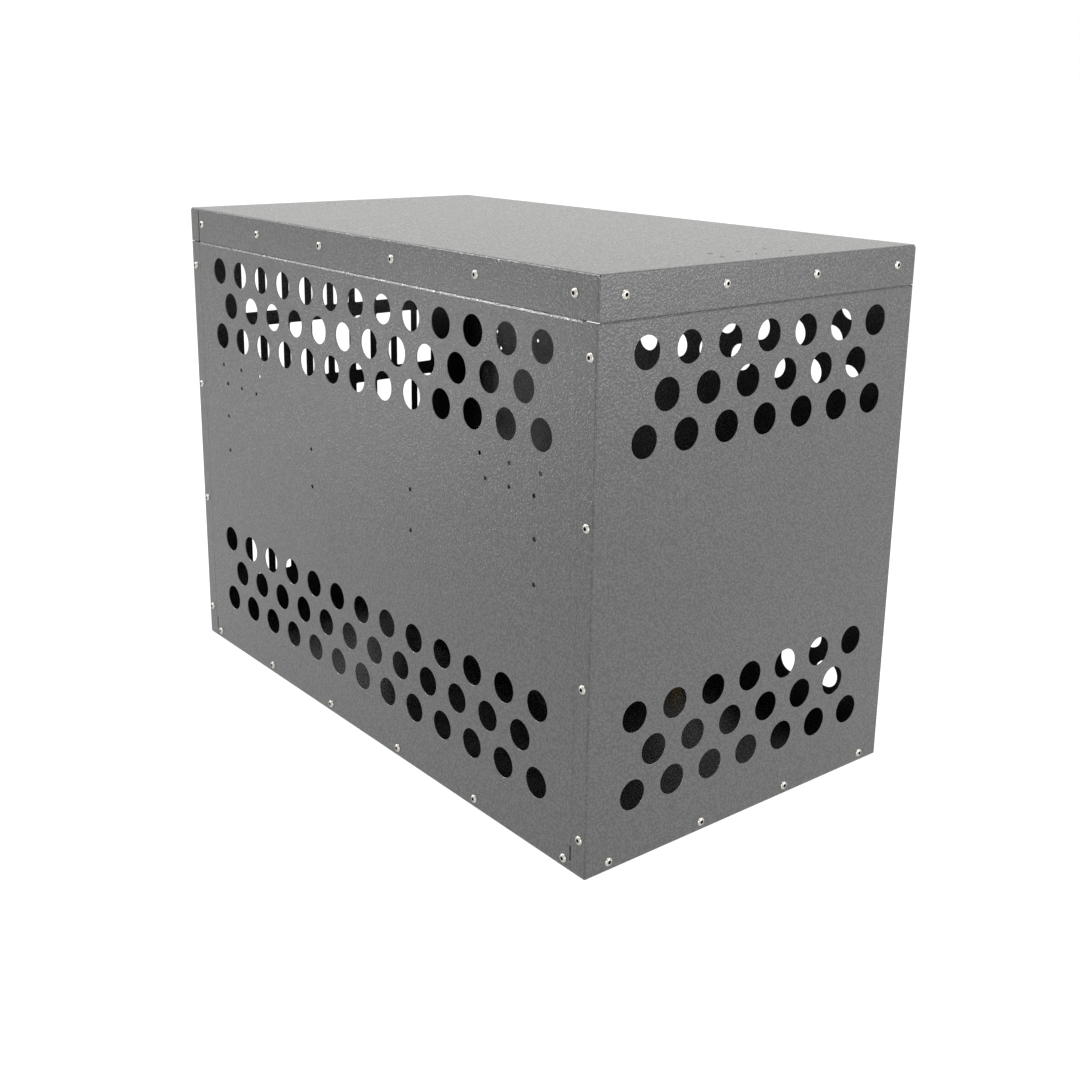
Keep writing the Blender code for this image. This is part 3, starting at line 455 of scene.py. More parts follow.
def joggle(start):
    """The pair of bends that steps a sheet's edge inward, to pass behind its neighbour."""
    arc = STEP_RADIUS * STEP_ANGLE
    slope = (JOGGLE - 2 * STEP_RADIUS * (1 - math.cos(STEP_ANGLE))) / math.sin(STEP_ANGLE)
    return [(start, STEP_RADIUS, STEP_ANGLE), (start + arc + slope, STEP_RADIUS, -STEP_ANGLE)]


def circle(u, v, radius, sides):
    """A round hole's loop, clockwise so that the metal stays on its left."""
    return [(u + radius * math.cos(a), v - radius * math.sin(a)) for a in turns(sides)]


def turns(count):
    return [2 * math.pi * i / count for i in range(count)]


def rounded_slot(middle, low, high):
    """An air slot's loop, clockwise, with rounded corners."""
    reach = SLOT_WIDTH / 2 - SLOT_CORNER
    centres = [(reach, low + SLOT_CORNER), (-reach, low + SLOT_CORNER),
               (-reach, high - SLOT_CORNER), (reach, high - SLOT_CORNER)]
    points = []
    for quarter, (u, v) in enumerate(centres):
        for i in range(5):
            angle = -math.pi / 2 * (quarter + i / 4)
            points.append((middle + u + SLOT_CORNER * math.cos(angle),
                           v + SLOT_CORNER * math.sin(angle)))
    return points


def shrink(loop, width):
    """The loop moved to its left by this width."""
    moved = []
    for before, here, after in zip(loop[-1:] + loop[:-1], loop, loop[1:] + loop[:1]):
        first, second = (here - before).normalized(), (after - here).normalized()
        normal = Vector((-first.y - second.y, first.x + second.x)).normalized()
        miter = max(0.3, normal.dot(Vector((-first.y, first.x))))
        moved.append(here + normal * (width / miter))
    return moved


def with_points(outline, segments):
    """The outline with each segment's ends added to it, and the pairs of their places in it."""
    loop = [Vector(p) for p in outline]
    for end in (Vector(end) for segment in segments for end in segment):
        if any((end - p).length < NEAR for p in loop):
            continue
        for i, a in enumerate(loop):
            b = loop[(i + 1) % len(loop)]
            along = (b - a).normalized()
            reach = (end - a).dot(along)
            if 0 < reach < (b - a).length and (end - a - along * reach).length < NEAR:
                loop.insert(i + 1, end)
                break

    def place_of(end):
        return next(i for i, p in enumerate(loop) if (Vector(end) - p).length < NEAR)

    return loop, [(place_of(a), place_of(b)) for a, b in segments]


def sheet(name, outline, holes, segments, bend):
    """A folded sheet.

    Its flat outline and holes are filled and given broken edges and a thickness. Then each point
    (u, v, depth) goes where bend says, and the segments make sure of edges along the folds.
    """
    outline, pairs = with_points(outline, segments)
    loops = [outline] + [[Vector(p) for p in hole] for hole in holes]
    flat, owner, edges = [], [], []
    for number, loop in enumerate(loops):
        first = len(flat)
        flat += shrink(loop, EDGE)
        owner += [number] * len(loop)
        edges += [(first + i, first + (i + 1) % len(loop)) for i in range(len(loop))]
    _, _, triangles, sources, _, _ = delaunay_2d_cdt(flat, edges + pairs, [], 1, NEAR)
    faces = [tuple(sources[i][0] for i in face) for face in triangles]
    faces = [f for f in faces if not (owner[f[0]] == owner[f[1]] == owner[f[2]] > 0)]
    cut = [p for loop in loops for p in loop]
    levels = ((flat, 0.0), (cut, EDGE), (cut, SHEET - EDGE), (flat, SHEET))
    points = [bend(p.x, p.y, depth) for level, depth in levels for p in level]
    total = len(flat)
    solid = faces + [tuple(3 * total + i for i in reversed(f)) for f in faces]
    first = 0
    for loop in loops:
        for i in range(len(loop)):
            here, after = first + i, first + (i + 1) % len(loop)
            for low in (0, total, 2 * total):
                high = low + total
                solid.append((low + here, high + here, high + after, low + after))
        first += len(loop)
    mesh = bpy.data.meshes.new(name)
    mesh.from_pydata(points, [], solid)
    # Painted shade: inner sides and small holes' walls are marked to be painted near black
    small = [float(len(loop) == HOLE_SIDES) for loop in loops for _ in loop]
    mark(mesh, "inner", [0.0] * total + small + [1.0] * 2 * total)
    # Big holes' and the outline's cut walls are marked for the lighter edge: part painted
    # highlight, part wear
    mark(mesh, "edge", [0.0] * total + [1 - value for value in small] * 2 + [0.0] * total)
    piece = link(name, mesh)
    soften(piece, SHEET_CREASE)
    return piece


def soften(piece, angle):
    """Smooth shading, broken where faces meet at more than this angle."""
    piece.data.shade_smooth()
    piece.data.set_sharp_from_angle(angle=angle)
    weighted = piece.modifiers.new("weighted_normals", "WEIGHTED_NORMAL")
    weighted.keep_sharp = True


def face_place(origin, along, outward):
    """Maps (along the face, up, inward) to a point of the object."""
    origin, along, outward = Vector(origin), Vector(along), Vector(outward)
    return lambda a, z, inward: origin + along * a + UP * z - outward * inward


def vent_places(longest_row):
    places = []
    for middle in VENT_BLOCK_MIDDLES:
        for row in (-1, 0, 1):
            count = longest_row if row else longest_row - 1
            height = middle + row * VENT_ROW_STEP
            places += [((i - (count - 1) / 2) * VENT_PITCH, height) for i in range(count)]
    return places


def screw_holes(places):
    return [circle(u, v, SCREW_HOLE, HOLE_SIDES) for u, v in places]


def bracket_holes(places):
    return [circle(u, v, BRACKET_HOLE_RADIUS, HOLE_SIDES) for u, v in places]


def long_face_holes():
    """Small holes of a long face: two trapezoids of six, and four pairs."""
    places = []
    for side in (-1, 1):
        for z, spread in TRAPEZOID_ROWS:
            places += [(side * TRAPEZOID_X + i * spread, z) for i in (-1, 0, 1)]
        places += [(side * x, z) for x in PAIR_COLUMNS for z in PAIR_HEIGHTS]
    return bracket_holes(places)


def both_sides(right):
    """The whole outline of a shape whose right half this is."""
    return right + [(-u, v) for u, v in reversed(right)]


def make_long_panel(name, origin, along, outward):
    """Flat face whose top edge steps inward, behind the roof's rim."""
    half = HALF_LENGTH - FLANGE - SEAM
    bends = joggle(RIM_BOTTOM - STEP_RISE)
    outline = both_sides([
        (half, PANEL_BOTTOM), (half, SLIT_LOW), (half - SLIT_WIDTH, SLIT_LOW),
        (half - SLIT_WIDTH, SLIT_HIGH), (half, SLIT_HIGH), (half, TONGUE_TOP),
    ])
    segments = [((-half, v), (half, v)) for v in bend_lines(bends)]
    holes = [circle(u, v, VENT_RADIUS, VENT_SIDES) for u, v in vent_places(VENTS_IN_LONG_ROW)]
    holes += long_face_holes() + screw_holes([(x, BOTTOM_SCREW_Z) for x in SCREWS_ALONG])
    place = face_place(origin, along, outward)

    def bend(u, v, depth):
        forward, inward, heading = follow(bends, v)
        return place(u, forward - math.sin(heading) * depth, inward + math.cos(heading) * depth)

    return sheet(name, outline, holes, segments, bend)


def make_backing_strips():
    """Strips welded behind the long sheets' side edges, for the end sheets' flange screws."""
    low, high = BACKING_LOW, RIM_BOTTOM - BACKING_TOP_GAP
    middle = HALF_LENGTH - FLANGE + BACKING_SHIFT
    heights = [z for z in FLANGE_SCREW_HEIGHTS if z > low]
    for face, side in (("front", -1), ("back", 1)):
        place = face_place((0, side * (HALF_DEPTH - JOGGLE), 0), (-side, 0, 0), (0, side, 0))
        for end, name in ((side, "left"), (-side, "right")):
            inner, outer = (end * middle + i * BACKING_HALF_WIDTH for i in (-1, 1))
            outline = [(inner, low), (outer, low), (outer, high), (inner, high)]
            holes = screw_holes([(end * FLANGE_SCREW_X, z) for z in heights])
            strip = sheet(f"{face}_{name}_backing_strip", outline, holes, [], place)
            dress(strip, "hammertone")


def make_end_panel(name, origin, along, outward, openings):
    """Channel-shaped sheet: an end face, a flange round each corner, and a stepped top edge."""
    corner = HALF_DEPTH - BEND_RADIUS
    side_bends = [(corner, BEND_RADIUS, math.pi / 2)]
    top_start = RIM_BOTTOM - STEP_RISE
    top_bends = joggle(top_start)
    reach = corner + BEND_ARC + FLANGE - BEND_RADIUS
    tab, relief = corner - END_TAB_INSET, top_start - CLEAR
    outline = both_sides([
        (reach, PANEL_BOTTOM), (reach, PANEL_TOP), (tab + END_NOTCH, PANEL_TOP),
        (tab + END_NOTCH, relief), (tab, relief), (tab, TONGUE_TOP),
    ])
    segments = [((-tab, v), (tab, v)) for v in bend_lines(top_bends)]
    for side in (-1, 1):
        segments += [((side * u, PANEL_BOTTOM), (side * u, PANEL_TOP))
                     for u in bend_lines(side_bends)]
    flange_screw = corner + BEND_ARC + HALF_LENGTH - BEND_RADIUS - FLANGE_SCREW_X
    screws = [(y, BOTTOM_SCREW_Z) for y in SCREWS_ACROSS]
    screws += [(side * flange_screw, z) for side in (-1, 1) for z in FLANGE_SCREW_HEIGHTS]
    place = face_place(origin, along, outward)

    def bend(u, v, depth):
        if abs(u) > tab + END_NOTCH / 2:
            forward, inward, heading = follow(side_bends, abs(u))
            across = math.copysign(forward - math.sin(heading) * depth, u)
            return place(across, v, inward + math.cos(heading) * depth)
        forward, inward, heading = follow(top_bends, v)
        return place(u, forward - math.sin(heading) * depth, inward + math.cos(heading) * depth)

    return sheet(name, outline, openings + screw_holes(screws), segments, bend)


def make_pan(name, half_x, half_y, depth, place, holes, tab_end=None, seams=(SEAM, SEAM)):
    """A plate with four sides folded round its edges.

    With tab_end, the end sides wrap round the corners as far as this from the middle. The seams
    there have their own widths at the left and at the right.
    """
    flat_x, flat_y = half_x - BEND_RADIUS, half_y - BEND_RADIUS
    reach_x = flat_x + BEND_ARC + depth - BEND_RADIUS
    reach_y = flat_y + BEND_ARC + depth - BEND_RADIUS
    relief_x, relief_y = flat_x - RELIEF, flat_y - RELIEF
    tab_top, side_top = flat_x + BEND_ARC + TAB_STEP, flat_y + BEND_ARC + TAB_STEP

    def quarter(seam):
        if not tab_end:
            return [(reach_x, relief_y), (relief_x, relief_y), (relief_x, reach_y)]
        end = flat_y + BEND_ARC + half_x - BEND_RADIUS - tab_end
        nose_x, nose_y = reach_x - TAB_NOSE, end - TAB_NOSE
        points = [(reach_x, nose_y)]
        for i in (1, 2, 3):
            angle = math.pi / 8 * i
            points.append((nose_x + TAB_NOSE * math.cos(angle),
                           nose_y + TAB_NOSE * math.sin(angle)))
        points += [(nose_x, end), (tab_top, end), (tab_top, relief_y), (relief_x, relief_y)]
        points += [(relief_x, side_top), (tab_end - seam, side_top), (tab_end - seam, reach_y)]
        return points

    left, right = (quarter(seam) for seam in seams)
    outline = right + [(-u, v) for u, v in reversed(left)]
    outline += [(-u, -v) for u, v in left] + [(u, -v) for u, v in reversed(right)]
    segments = []
    for fold in (BEND_ARC * i / FOLD_STEPS for i in range(FOLD_STEPS + 1)):
        x, y = flat_x + fold, flat_y + fold
        for side in (-1, 1):
            segments.append(((side * x, -relief_y), (side * x, relief_y)))
            segments.append(((-relief_x, side * y), (relief_x, side * y)))
            if tab_end:
                segments += [((end * tab_top, side * y), (end * reach_x, side * y))
                             for end in (-1, 1)]
    fold_x = [(flat_x, BEND_RADIUS, math.pi / 2)]
    fold_y = [(flat_y, BEND_RADIUS, math.pi / 2)]

    def bend(u, v, inside):
        forward, down, heading = follow(fold_x, abs(u))
        if abs(u) <= flat_x or (abs(v) > flat_y and abs(u) < flat_x + BEND_ARC):
            forward, down, heading = follow(fold_y, abs(v))
            across = math.copysign(forward - math.sin(heading) * inside, v)
            return place(u, across, down + math.cos(heading) * inside)
        if abs(v) <= flat_y:
            along = math.copysign(forward - math.sin(heading) * inside, u)
            return place(along, v, down + math.cos(heading) * inside)
        across, inward, turned = follow(fold_y, abs(v))
        along = math.copysign(half_x - inward - math.cos(turned) * inside, u)
        return place(along, math.copysign(across - math.sin(turned) * inside, v), down)

    return sheet(name, outline, holes, segments, bend)


def make_roof():
    """The lid. Its left corner seams are a little open, and its right ones are tight."""
    rim_row = HALF_DEPTH - BEND_RADIUS + BEND_ARC + HEIGHT - BEND_RADIUS - RIM_SCREW_Z
    rim_column = rim_row + HALF_LENGTH - HALF_DEPTH
    screws = [(x, side * rim_row) for side in (-1, 1) for x in SCREWS_ALONG]
    screws += [(side * rim_column, y) for side in (-1, 1) for y in SCREWS_ACROSS]
    brackets = []
    for side in (-1, 1):
        for x, spread in ROOF_TRAPEZOID_ROWS:
            brackets += [(side * x, ROOF_TRAPEZOID_Y + i * spread) for i in (-1, 0, 1)]
    holes = screw_holes(screws) + bracket_holes(brackets)
    return make_pan("roof_lid", HALF_LENGTH, HALF_DEPTH, HEIGHT - RIM_BOTTOM,
                    lambda x, y, down: Vector((x, y, HEIGHT - down)),
                    holes, HALF_LENGTH - FLANGE, ROOF_SEAMS)


def make_tray():
    """The floor pan. Its sides are folded up, inside the panels."""
    holes = []
    for node_name in ("gas_inlet", "conduit_gland"):
        low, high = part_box(node_name)
        x, y = (low.x + high.x) / 2, (low.y + high.y) / 2
        holes.append(circle(x, -y, TRAY_HOLE_RADIUS, TRAY_HOLE_SIDES))
    return make_pan("floor_pan", tray_high.x, tray_high.y, tray_high.z,
                    lambda x, y, down: Vector((x, -y, down)), holes)


def make_housing():
    vents = [circle(u, v, VENT_RADIUS, VENT_SIDES) for u, v in vent_places(VENTS_IN_END_ROW)]
    slots = []
    for row in range(SLOT_ROWS):
        top = SLOT_TOP - row * SLOT_PITCH_Z
        bottom = max(top - SLOT_HEIGHT, SLOT_LOWEST)
        columns = [(i - (SLOT_COLUMNS - 1) / 2) * SLOT_PITCH_Y for i in range(SLOT_COLUMNS)]
        slots += [rounded_slot(middle, bottom, top) for middle in columns]
    pieces = {
        "front_panel": make_long_panel("front_sheet", (0, -HALF_DEPTH, 0), (1, 0, 0), (0, -1, 0)),
        "back_panel": make_long_panel("back_sheet", (0, HALF_DEPTH, 0), (-1, 0, 0), (0, 1, 0)),
        "right_end_panel": make_end_panel(
            "right_end_sheet", (HALF_LENGTH, 0, 0), (0, 1, 0), (1, 0, 0), vents),
        "left_end_panel": make_end_panel(
            "left_end_sheet", (-HALF_LENGTH, 0, 0), (0, -1, 0), (-1, 0, 0), slots),
        "roof": make_roof(),
        "base_tray": make_tray(),
    }
    for node_name, piece in pieces.items():
        dress(piece, "hammertone")
        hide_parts(node_name)
    make_backing_strips()


# ---------------------------------------------------------------- fasteners

def skin(name, rings, closed=False):
    """A surface through rings of points.

    It has a flat cap at each end or, when closed, its ends are joined.
    """
    shape = bmesh.new()
    made = [[shape.verts.new(p) for p in ring] for ring in rings]
    pairs = list(zip(made, made[1:]))
    if closed:
        pairs.append((made[-1], made[0]))
    else:
        shape.faces.new(made[0])
        shape.faces.new(made[-1])
    for lower, upper in pairs:
        for i in range(len(lower)):
            j = (i + 1) % len(lower)
            shape.faces.new((lower[i], lower[j], upper[j], upper[i]))
    bmesh.ops.recalc_face_normals(shape, faces=shape.faces)
    mesh = bpy.data.meshes.new(name)
    shape.to_mesh(mesh)
    shape.free()
    return mesh


def round_ring(radius, height, sides):
    return [(radius * math.cos(a), radius * math.sin(a), height) for a in turns(sides)]


def hex_ring(across_corners, height, sides):
    """A hexagon with as many points as a round ring has."""
    ring = []
    for a in turns(sides):
        flat = math.cos(a % (math.pi / 3) - math.pi / 6)
        radius = across_corners / 2 * math.cos(math.pi / 6) / flat
        ring.append((radius * math.cos(a), radius * math.sin(a), height))
    return ring


def screw_mesh():
    """Button-head screw with a hexagon socket, its seat at the origin and its head along +Z."""
    sides = FASTENER_SIDES
    rings = [round_ring(radius, height, sides) for radius, height in BUTTON_HEAD]
    rings += [hex_ring(SOCKET_ACROSS, height, sides) for height in (SOCKET_RIM, SOCKET_FLOOR)]
    mesh = skin("button_head_screw", rings)
    # The recess mark makes the material paint the socket's rim and floor dark, as painted shade
    mark(mesh, "recess", [0.0] * sides * (len(rings) - 2) + [0.6] * sides + [1.0] * sides)
    mesh.shade_smooth()
    mesh.set_sharp_from_angle(angle=SCREW_CREASE)
    mesh.materials.append(SCREW_STEEL)
    return mesh


def bolt_mesh():
    """Flanged hexagon head, 10 mm across flats, its seat at the origin and its head along +Z."""
    sides = FASTENER_SIDES
    rings = [round_ring(BOLT_FLANGE, height, sides) for height in BOLT_FLANGE_SPAN]
    rings += [hex_ring(BOLT_ACROSS, height, sides) for height in BOLT_HEX_SPAN]
    rings += [round_ring(BOLT_TOP, BOLT_HEIGHT, sides)]
    mesh = skin("flanged_bolt_head", rings)
    mesh.shade_smooth()
    mesh.set_sharp_from_angle(angle=HEXAGON_CREASE)
    mesh.materials.append(LOOKS["bright_steel"])
    return mesh


def fasten(prefix, mesh, places, scale=1.0):
    """A screw or bolt at each (seat, outward direction), each turned differently."""
    for number, (seat, outward) in enumerate(places):
        turn = Vector(outward).to_track_quat("Z", "Y").to_matrix().to_4x4()
        spin = Matrix.Rotation(SPIN.uniform(0, math.pi / 3), 4, "Z")
        matrix = Matrix.Translation(seat) @ turn @ spin @ Matrix.Scale(scale, 4)
        piece = link(f"{prefix}_{number + 1:02d}", mesh, matrix)
        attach(piece, SET_BODY)


def make_screws():
    places = []
    for side in (-1, 1):
        for z in (RIM_SCREW_Z, BOTTOM_SCREW_Z):
            places += [((x, side * HALF_DEPTH, z), (0, side, 0)) for x in SCREWS_ALONG]
            places += [((side * HALF_LENGTH, y, z), (side, 0, 0)) for y in SCREWS_ACROSS]
        for end in (-1, 1):
            x = end * FLANGE_SCREW_X
            places += [((x, side * HALF_DEPTH, z), (0, side, 0)) for z in FLANGE_SCREW_HEIGHTS]
    fasten("housing_screw", screw_mesh(), places)


# ---------------------------------------------------------------- the set inside

def smooth_by_angle():
    """Node group that smooths every face and keeps edges of more than 40 degrees sharp."""
    group = bpy.data.node_groups.new("smooth_by_angle", "GeometryNodeTree")
    group.is_modifier = True
    group.interface.new_socket("Geometry", in_out="INPUT", socket_type="NodeSocketGeometry")
    group.interface.new_socket("Geometry", in_out="OUTPUT", socket_type="NodeSocketGeometry")
    start, end = group.nodes.new("NodeGroupInput"), group.nodes.new("NodeGroupOutput")
    angle = group.nodes.new("GeometryNodeInputMeshEdgeAngle")
    over = add(group, "FunctionNodeCompare", {0: angle.outputs["Unsigned Angle"], 1: CREASE},
               operation="GREATER_THAN")
    smooth = add(group, "GeometryNodeSetShadeSmooth", {"Geometry": start.outputs[0]})
    sharp = add(group, "GeometryNodeSetShadeSmooth", {
        "Geometry": smooth.outputs[0], "Selection": over.outputs[0], "Shade Smooth": False,
    }, domain="EDGE")
    group.links.new(sharp.outputs[0], end.inputs[0])
    return group


def refine(node, group):
    """Gives a carried-over node broken edges, smooth round faces and its finish."""
    weld = node.modifiers.new("weld", "WELD")
    weld.merge_threshold = 0.00001
    edges = node.modifiers.new("broken_edges", "BEVEL")
    edges.width = 0.0008
    edges.segments = 2
    edges.limit_method = "ANGLE"
    edges.angle_limit = CREASE
    node.modifiers.new("smooth_by_angle", "NODES").node_group = group
    normals = node.modifiers.new("weighted_normals", "WEIGHTED_NORMAL")
    normals.keep_sharp = True
    node.data.materials[0] = LOOKS[node.data.materials[0].name]


def axis_frame(start, direction):
    """Frame at start with its +Z along direction."""
    turn = Vector(direction).to_track_quat("Z", "Y").to_matrix().to_4x4()
    return Matrix.Translation(start) @ turn


def lathe(name, slot_name, start, direction, profile, sides=LATHE_SIDES, closed=False):
    """A turned piece: its (radius, distance) profile goes round direction."""
    mesh = skin(name, [round_ring(radius, reach, sides) for radius, reach in profile], closed)
    piece = link(name, mesh, axis_frame(start, direction))
    soften(piece, LATHE_CREASE)
    dress(piece, slot_name)
    return piece


def tube_profile(length, outer, inner, edge):
    """Profile of a ring with broken edges, to be closed."""
    return [(inner, edge), (inner + edge, 0.0), (outer - edge, 0.0), (outer, edge),
            (outer, length - edge), (outer - edge, length), (inner + edge, length),
            (inner, length - edge)]


def wire_ring(name, centre, axis, radius, thickness, slot_name="black_paint"):
    """A round wire bent to a closed ring."""
    thick = thickness / 2
    profile = [(radius + thick * math.cos(a), thick * math.sin(a)) for a in turns(RING_WIRE_SIDES)]
    lathe(name, slot_name, centre, axis, profile, closed=True)


def straight_wire(name, start, end, thickness):
    along = end - start
    radius = thickness / 2
    profile = [(radius * 0.6, 0.0), (radius, radius * 0.4), (radius, along.length - radius * 0.4),
               (radius * 0.6, along.length)]
    lathe(name, "black_paint", start, along, profile, WIRE_SIDES)


def crank_place(x, radius=0.0, angle=0.0):
    """A point at this x, this far from the crank axis."""
    return Vector((x, CRANK.y + radius * math.cos(angle), CRANK.z + radius * math.sin(angle)))


def make_fan_guard():
    """Wire guard over the shroud's intake: rings, and spokes outside them."""
    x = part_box("fan_shroud")[0].x - 0.0013
    for number, radius in enumerate(GUARD_RADII):
        wire_ring(f"fan_guard_ring_{number + 1}", crank_place(x), ALONG_X, radius, GUARD_WIRE)
    for number, angle in enumerate(turns(GUARD_SPOKES)):
        start, end = (crank_place(x - GUARD_WIRE * 0.85, radius, angle)
                      for radius in (GUARD_RADII[0], GUARD_REACH))
        straight_wire(f"fan_guard_spoke_{number + 1}", start, end, GUARD_WIRE)


def make_alternator():
    """Laminated stator between its cast ends, with a groove between its bands."""
    low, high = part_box("stator")
    outer = (high.z - low.z) / 2
    length = high.x - low.x
    pitch = length / LAMINATION_BANDS
    profile = [(STATOR_BORE, 0.0)]
    for i in range(LAMINATION_BANDS):
        profile += [(outer - 0.0006, i * pitch + 0.0002), (outer, i * pitch + 0.0010),
                    (outer, (i + 1) * pitch - 0.0010), (outer - 0.0006, (i + 1) * pitch - 0.0002)]
    profile += [(STATOR_BORE, length)]
    stator = lathe("stator_laminations", "cast_iron", crank_place(low.x), ALONG_X, profile,
                   closed=True)
    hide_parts("stator")


def reach_along(node_name, direction):
    """How far a CAD node reaches in this direction."""
    return max(direction.dot(vertex.co) for vertex in frame["nodes"][node_name].data.vertices)


def centre_of(node_name):
    low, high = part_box(node_name)
    return (low + high) / 2


def make_fasteners():
    """Bolts and screws that hold the set together."""
    bolt, screw = bolt_mesh(), screw_mesh()
    rail_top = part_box("front_rail")[1].z
    seats = [(x, y, rail_top) for x in RAIL_BOLTS_X for y in RAIL_BOLTS_Y]
    fasten("cradle_bolt", bolt, [(seat, UP) for seat in seats], scale=0.9)

    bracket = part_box("alternator_end_bracket")[0].x
    profile = [(TIE_BOSS_RADIUS, 0.0), (TIE_BOSS_RADIUS, TIE_BOSS_LENGTH - 0.0008),
               (TIE_BOSS_RADIUS - 0.0007, TIE_BOSS_LENGTH)]
    for number, angle in enumerate(turns(TIE_BOLTS)):
        boss = crank_place(bracket + TIE_BOSS_START, TIE_BOLT_RADIUS, angle + math.pi / 4)
        lathe(f"tie_bolt_boss_{number + 1}", "cast_aluminium", boss, ALONG_X, profile)
        seat = boss + ALONG_X * TIE_BOSS_LENGTH
        fasten(f"tie_bolt_{number + 1}", bolt, [(seat, ALONG_X)], scale=0.75)

    axis = Vector((0, -math.cos(CYLINDER_TILT), math.sin(CYLINDER_TILT)))
    across = axis.cross(ALONG_X)
    cylinder_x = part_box("crankcase")[0].x + CRANKCASE_HALF_LENGTH + CYLINDER_SHIFT
    cover_middle = Vector((cylinder_x, CRANK.y, CRANK.z))
    cover_top = reach_along("rocker_cover", axis) - cover_middle.dot(axis)
    seats = [cover_middle + axis * cover_top + ALONG_X * x + across * y
             for x in ROCKER_BOLTS_X for y in ROCKER_BOLTS_Y]
    fasten("rocker_cover_bolt", bolt, [(seat, axis) for seat in seats], scale=0.6)

    middle = centre_of("gas_regulator")
    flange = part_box("gas_regulator")[0].y + REGULATOR_FLANGE
    seats = [(middle.x + x, flange, middle.z + z)
             for x, z, _ in round_ring(REGULATOR_SCREW_CIRCLE, 0.0, REGULATOR_SCREWS)]
    fasten("regulator_screw", bolt, [(seat, ALONG_Y) for seat in seats], scale=0.55)

    low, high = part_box("control_panel")
    seats = [(x, y, high.z) for x in (low.x + PANEL_SCREW_INSET, high.x - PANEL_SCREW_INSET)
             for y in (low.y + PANEL_SCREW_INSET, high.y - PANEL_SCREW_INSET)]
    fasten("control_panel_screw", screw, [(seat, UP) for seat in seats])

    knob = centre_of("air_filter_cover")
    knob.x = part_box("air_filter_cover")[1].x
    fasten("air_filter_knob", bolt, [(knob, ALONG_X)], scale=1.5)


def make_bands():
    """Hose clamps, the muffler's rolled seams and the shroud's bead."""
    inlet_top = centre_of("gas_inlet")
    inlet_top.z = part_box("gas_inlet")[1].z + 0.004
    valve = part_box("gas_valve")[0]
    valve_bottom = Vector((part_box("supply_hose")[1].x - SUPPLY_HOSE_RADIUS, valve.y + 0.013,
                           valve.z - 0.012))
    outer, inner = SUPPLY_HOSE_RADIUS + 0.0012, SUPPLY_HOSE_RADIUS - 0.0003
    band = tube_profile(CLAMP_WIDTH, outer, inner, 0.0003)
    for number, start in enumerate((inlet_top, valve_bottom)):
        lathe(f"hose_clamp_{number + 1}", "bright_steel", start, UP, band, closed=True)

    low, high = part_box("muffler")
    middle = centre_of("muffler")
    radius = (high.z - low.z) / 2 - 0.0004
    for number, x in enumerate((low.x + MUFFLER_SEAM_INSET, high.x - MUFFLER_SEAM_INSET)):
        wire_ring(f"muffler_seam_{number + 1}", (x, middle.y, middle.z), ALONG_X, radius,
                  MUFFLER_SEAM_WIRE, "hot_steel")

    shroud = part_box("fan_shroud")[0].x
    wire_ring("shroud_bead", crank_place(shroud + 0.0024), ALONG_X, SHROUD_RADIUS, SHROUD_BEAD_WIRE)


def make_battery_caps():
    low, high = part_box("battery")
    middle = (low.y + high.y) / 2
    for number, y in enumerate(BATTERY_CAPS_Y):
        seat = (high.x - BATTERY_CAP_INSET, middle + y, BATTERY_TOP)
        lathe(f"battery_cap_{number + 1}", "black_plastic", seat, UP, BATTERY_CAP)


def make_crank_nut():
    """Nut on the crankshaft's fan end, from its (width across corners, height) rings."""
    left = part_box("crankshaft")[0].x
    nut = skin("crank_nut", [hex_ring(*ring, FASTENER_SIDES) for ring in CRANK_NUT])
    piece = link("crank_nut", nut, axis_frame(crank_place(left - 0.0003), -ALONG_X))
    soften(piece, HEXAGON_CREASE)
    dress(piece, "bright_steel", "rotating_set")


def refine_set():
    """Every CAD node that no piece stands for keeps its shape, with finer edges and its finish."""
    group = smooth_by_angle()
    for node in frame["nodes"].values():
        if not node.hide_render:
            refine(node, group)


# ---------------------------------------------------------------- camera, light and floor

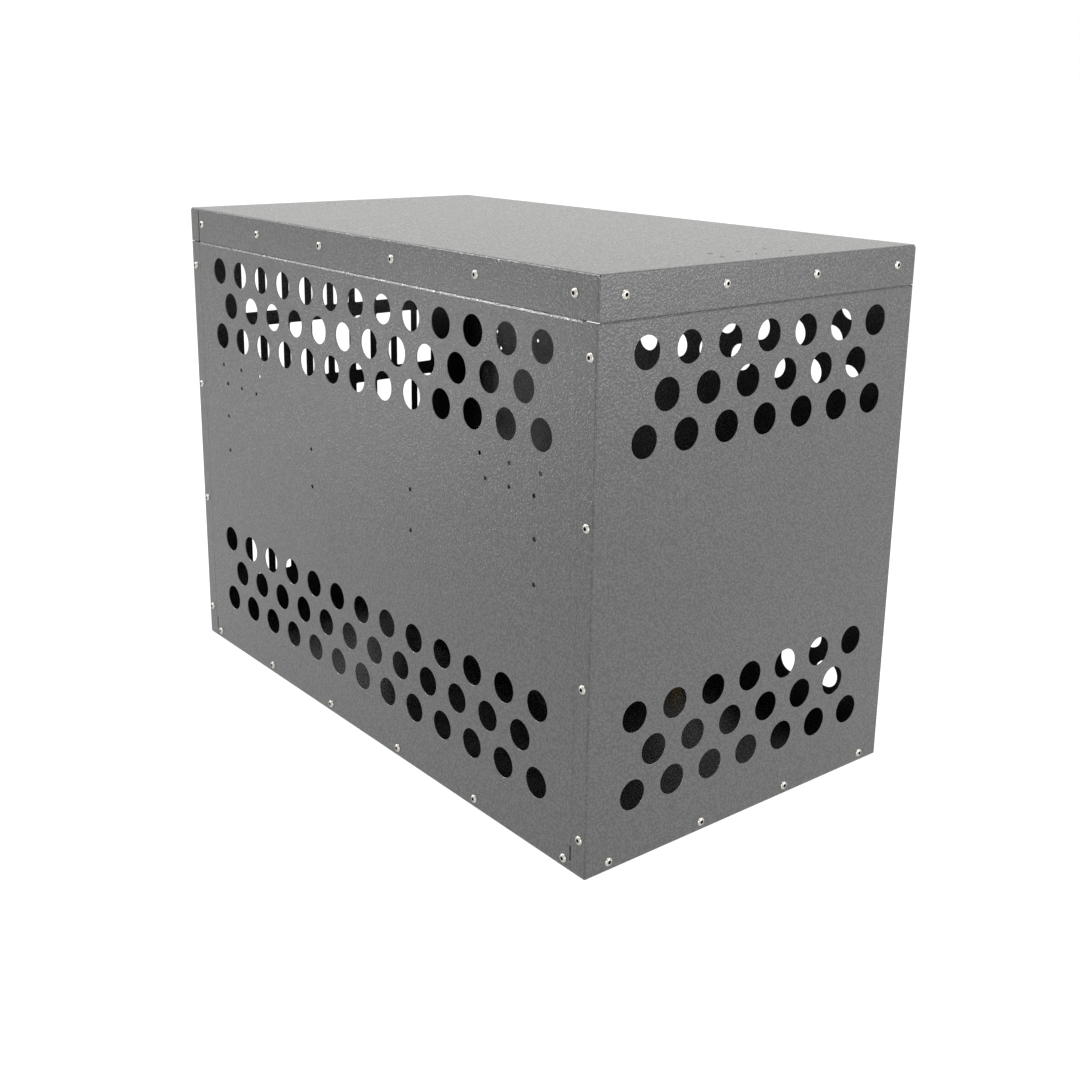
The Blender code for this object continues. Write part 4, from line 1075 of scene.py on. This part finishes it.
def make_camera():
    """The photo's camera. Azimuth 0 looks at the front, and 90 at the right end."""
    level = Vector((math.cos(CAMERA_AZIMUTH), math.sin(CAMERA_AZIMUTH), 0))
    flat = math.cos(CAMERA_ELEVATION)
    back = Vector((level.y * flat, -level.x * flat, math.sin(CAMERA_ELEVATION)))
    upward = back.cross(level)
    across = math.cos(CAMERA_ROLL) * level + math.sin(CAMERA_ROLL) * upward
    upward = math.cos(CAMERA_ROLL) * upward - math.sin(CAMERA_ROLL) * level
    data = bpy.data.cameras.new("camera")
    data.sensor_width = 36
    data.lens = CAMERA_LENS
    data.shift_x, data.shift_y = CAMERA_SHIFT
    data.clip_start, data.clip_end = 0.05, 60
    camera = bpy.data.objects.new("camera", data)
    bpy.context.scene.collection.objects.link(camera)
    turn = Matrix((across, upward, back)).transposed().to_4x4()
    camera.matrix_world = Matrix.Translation(CAMERA_PLACE) @ turn
    bpy.context.scene.camera = camera


def softbox(name, where, toward, size, power, colour, lengthwise):
    """An area light whose second side lies as near as it can to lengthwise."""
    data = bpy.data.lights.new(name, "AREA")
    data.shape, data.size, data.size_y = "RECTANGLE", size[0], size[1]
    data.energy, data.color = power, colour
    light = bpy.data.objects.new(name, data)
    bpy.context.scene.collection.objects.link(light)
    back = (Vector(where) - Vector(toward)).normalized()
    across = Vector(lengthwise).cross(back).normalized()
    turn = Matrix((across, back.cross(across), back)).transposed().to_4x4()
    light.matrix_world = Matrix.Translation(where) @ turn


def make_studio():
    for name, settings in SOFTBOXES.items():
        softbox(name, *settings)
    world = bpy.data.worlds.new("studio")
    bpy.context.scene.world = world
    world.use_nodes = True
    background = world.node_tree.nodes["Background"]
    background.inputs["Color"].default_value = (*WHITE, 1)
    background.inputs["Strength"].default_value = WORLD_STRENGTH


def make_floor():
    """A pale floor that lights the object from below, as white seamless paper does."""
    material = new_material(
        "pale_floor", Roughness=0.9, Base_Color=(FLOOR_TONE, FLOOR_TONE, FLOOR_TONE, 1),
        Emission_Color=(*WHITE, 1), Emission_Strength=FLOOR_GLOW)[0]
    shape = bmesh.new()
    bmesh.ops.create_circle(shape, cap_ends=True, segments=64, radius=FLOOR_RADIUS)
    mesh = bpy.data.meshes.new("studio_floor")
    shape.to_mesh(mesh)
    shape.free()
    mesh.materials.append(material)
    floor = link("studio_floor", mesh, Matrix.Translation((0, 0, -FLOOR_DROP)))


make_housing()
make_screws()
make_fan_guard()
make_alternator()
make_crank_nut()
make_fasteners()
make_bands()
make_battery_caps()
refine_set()
make_camera()
make_studio()
make_floor()
bpy.context.scene.view_settings.view_transform = "Standard"
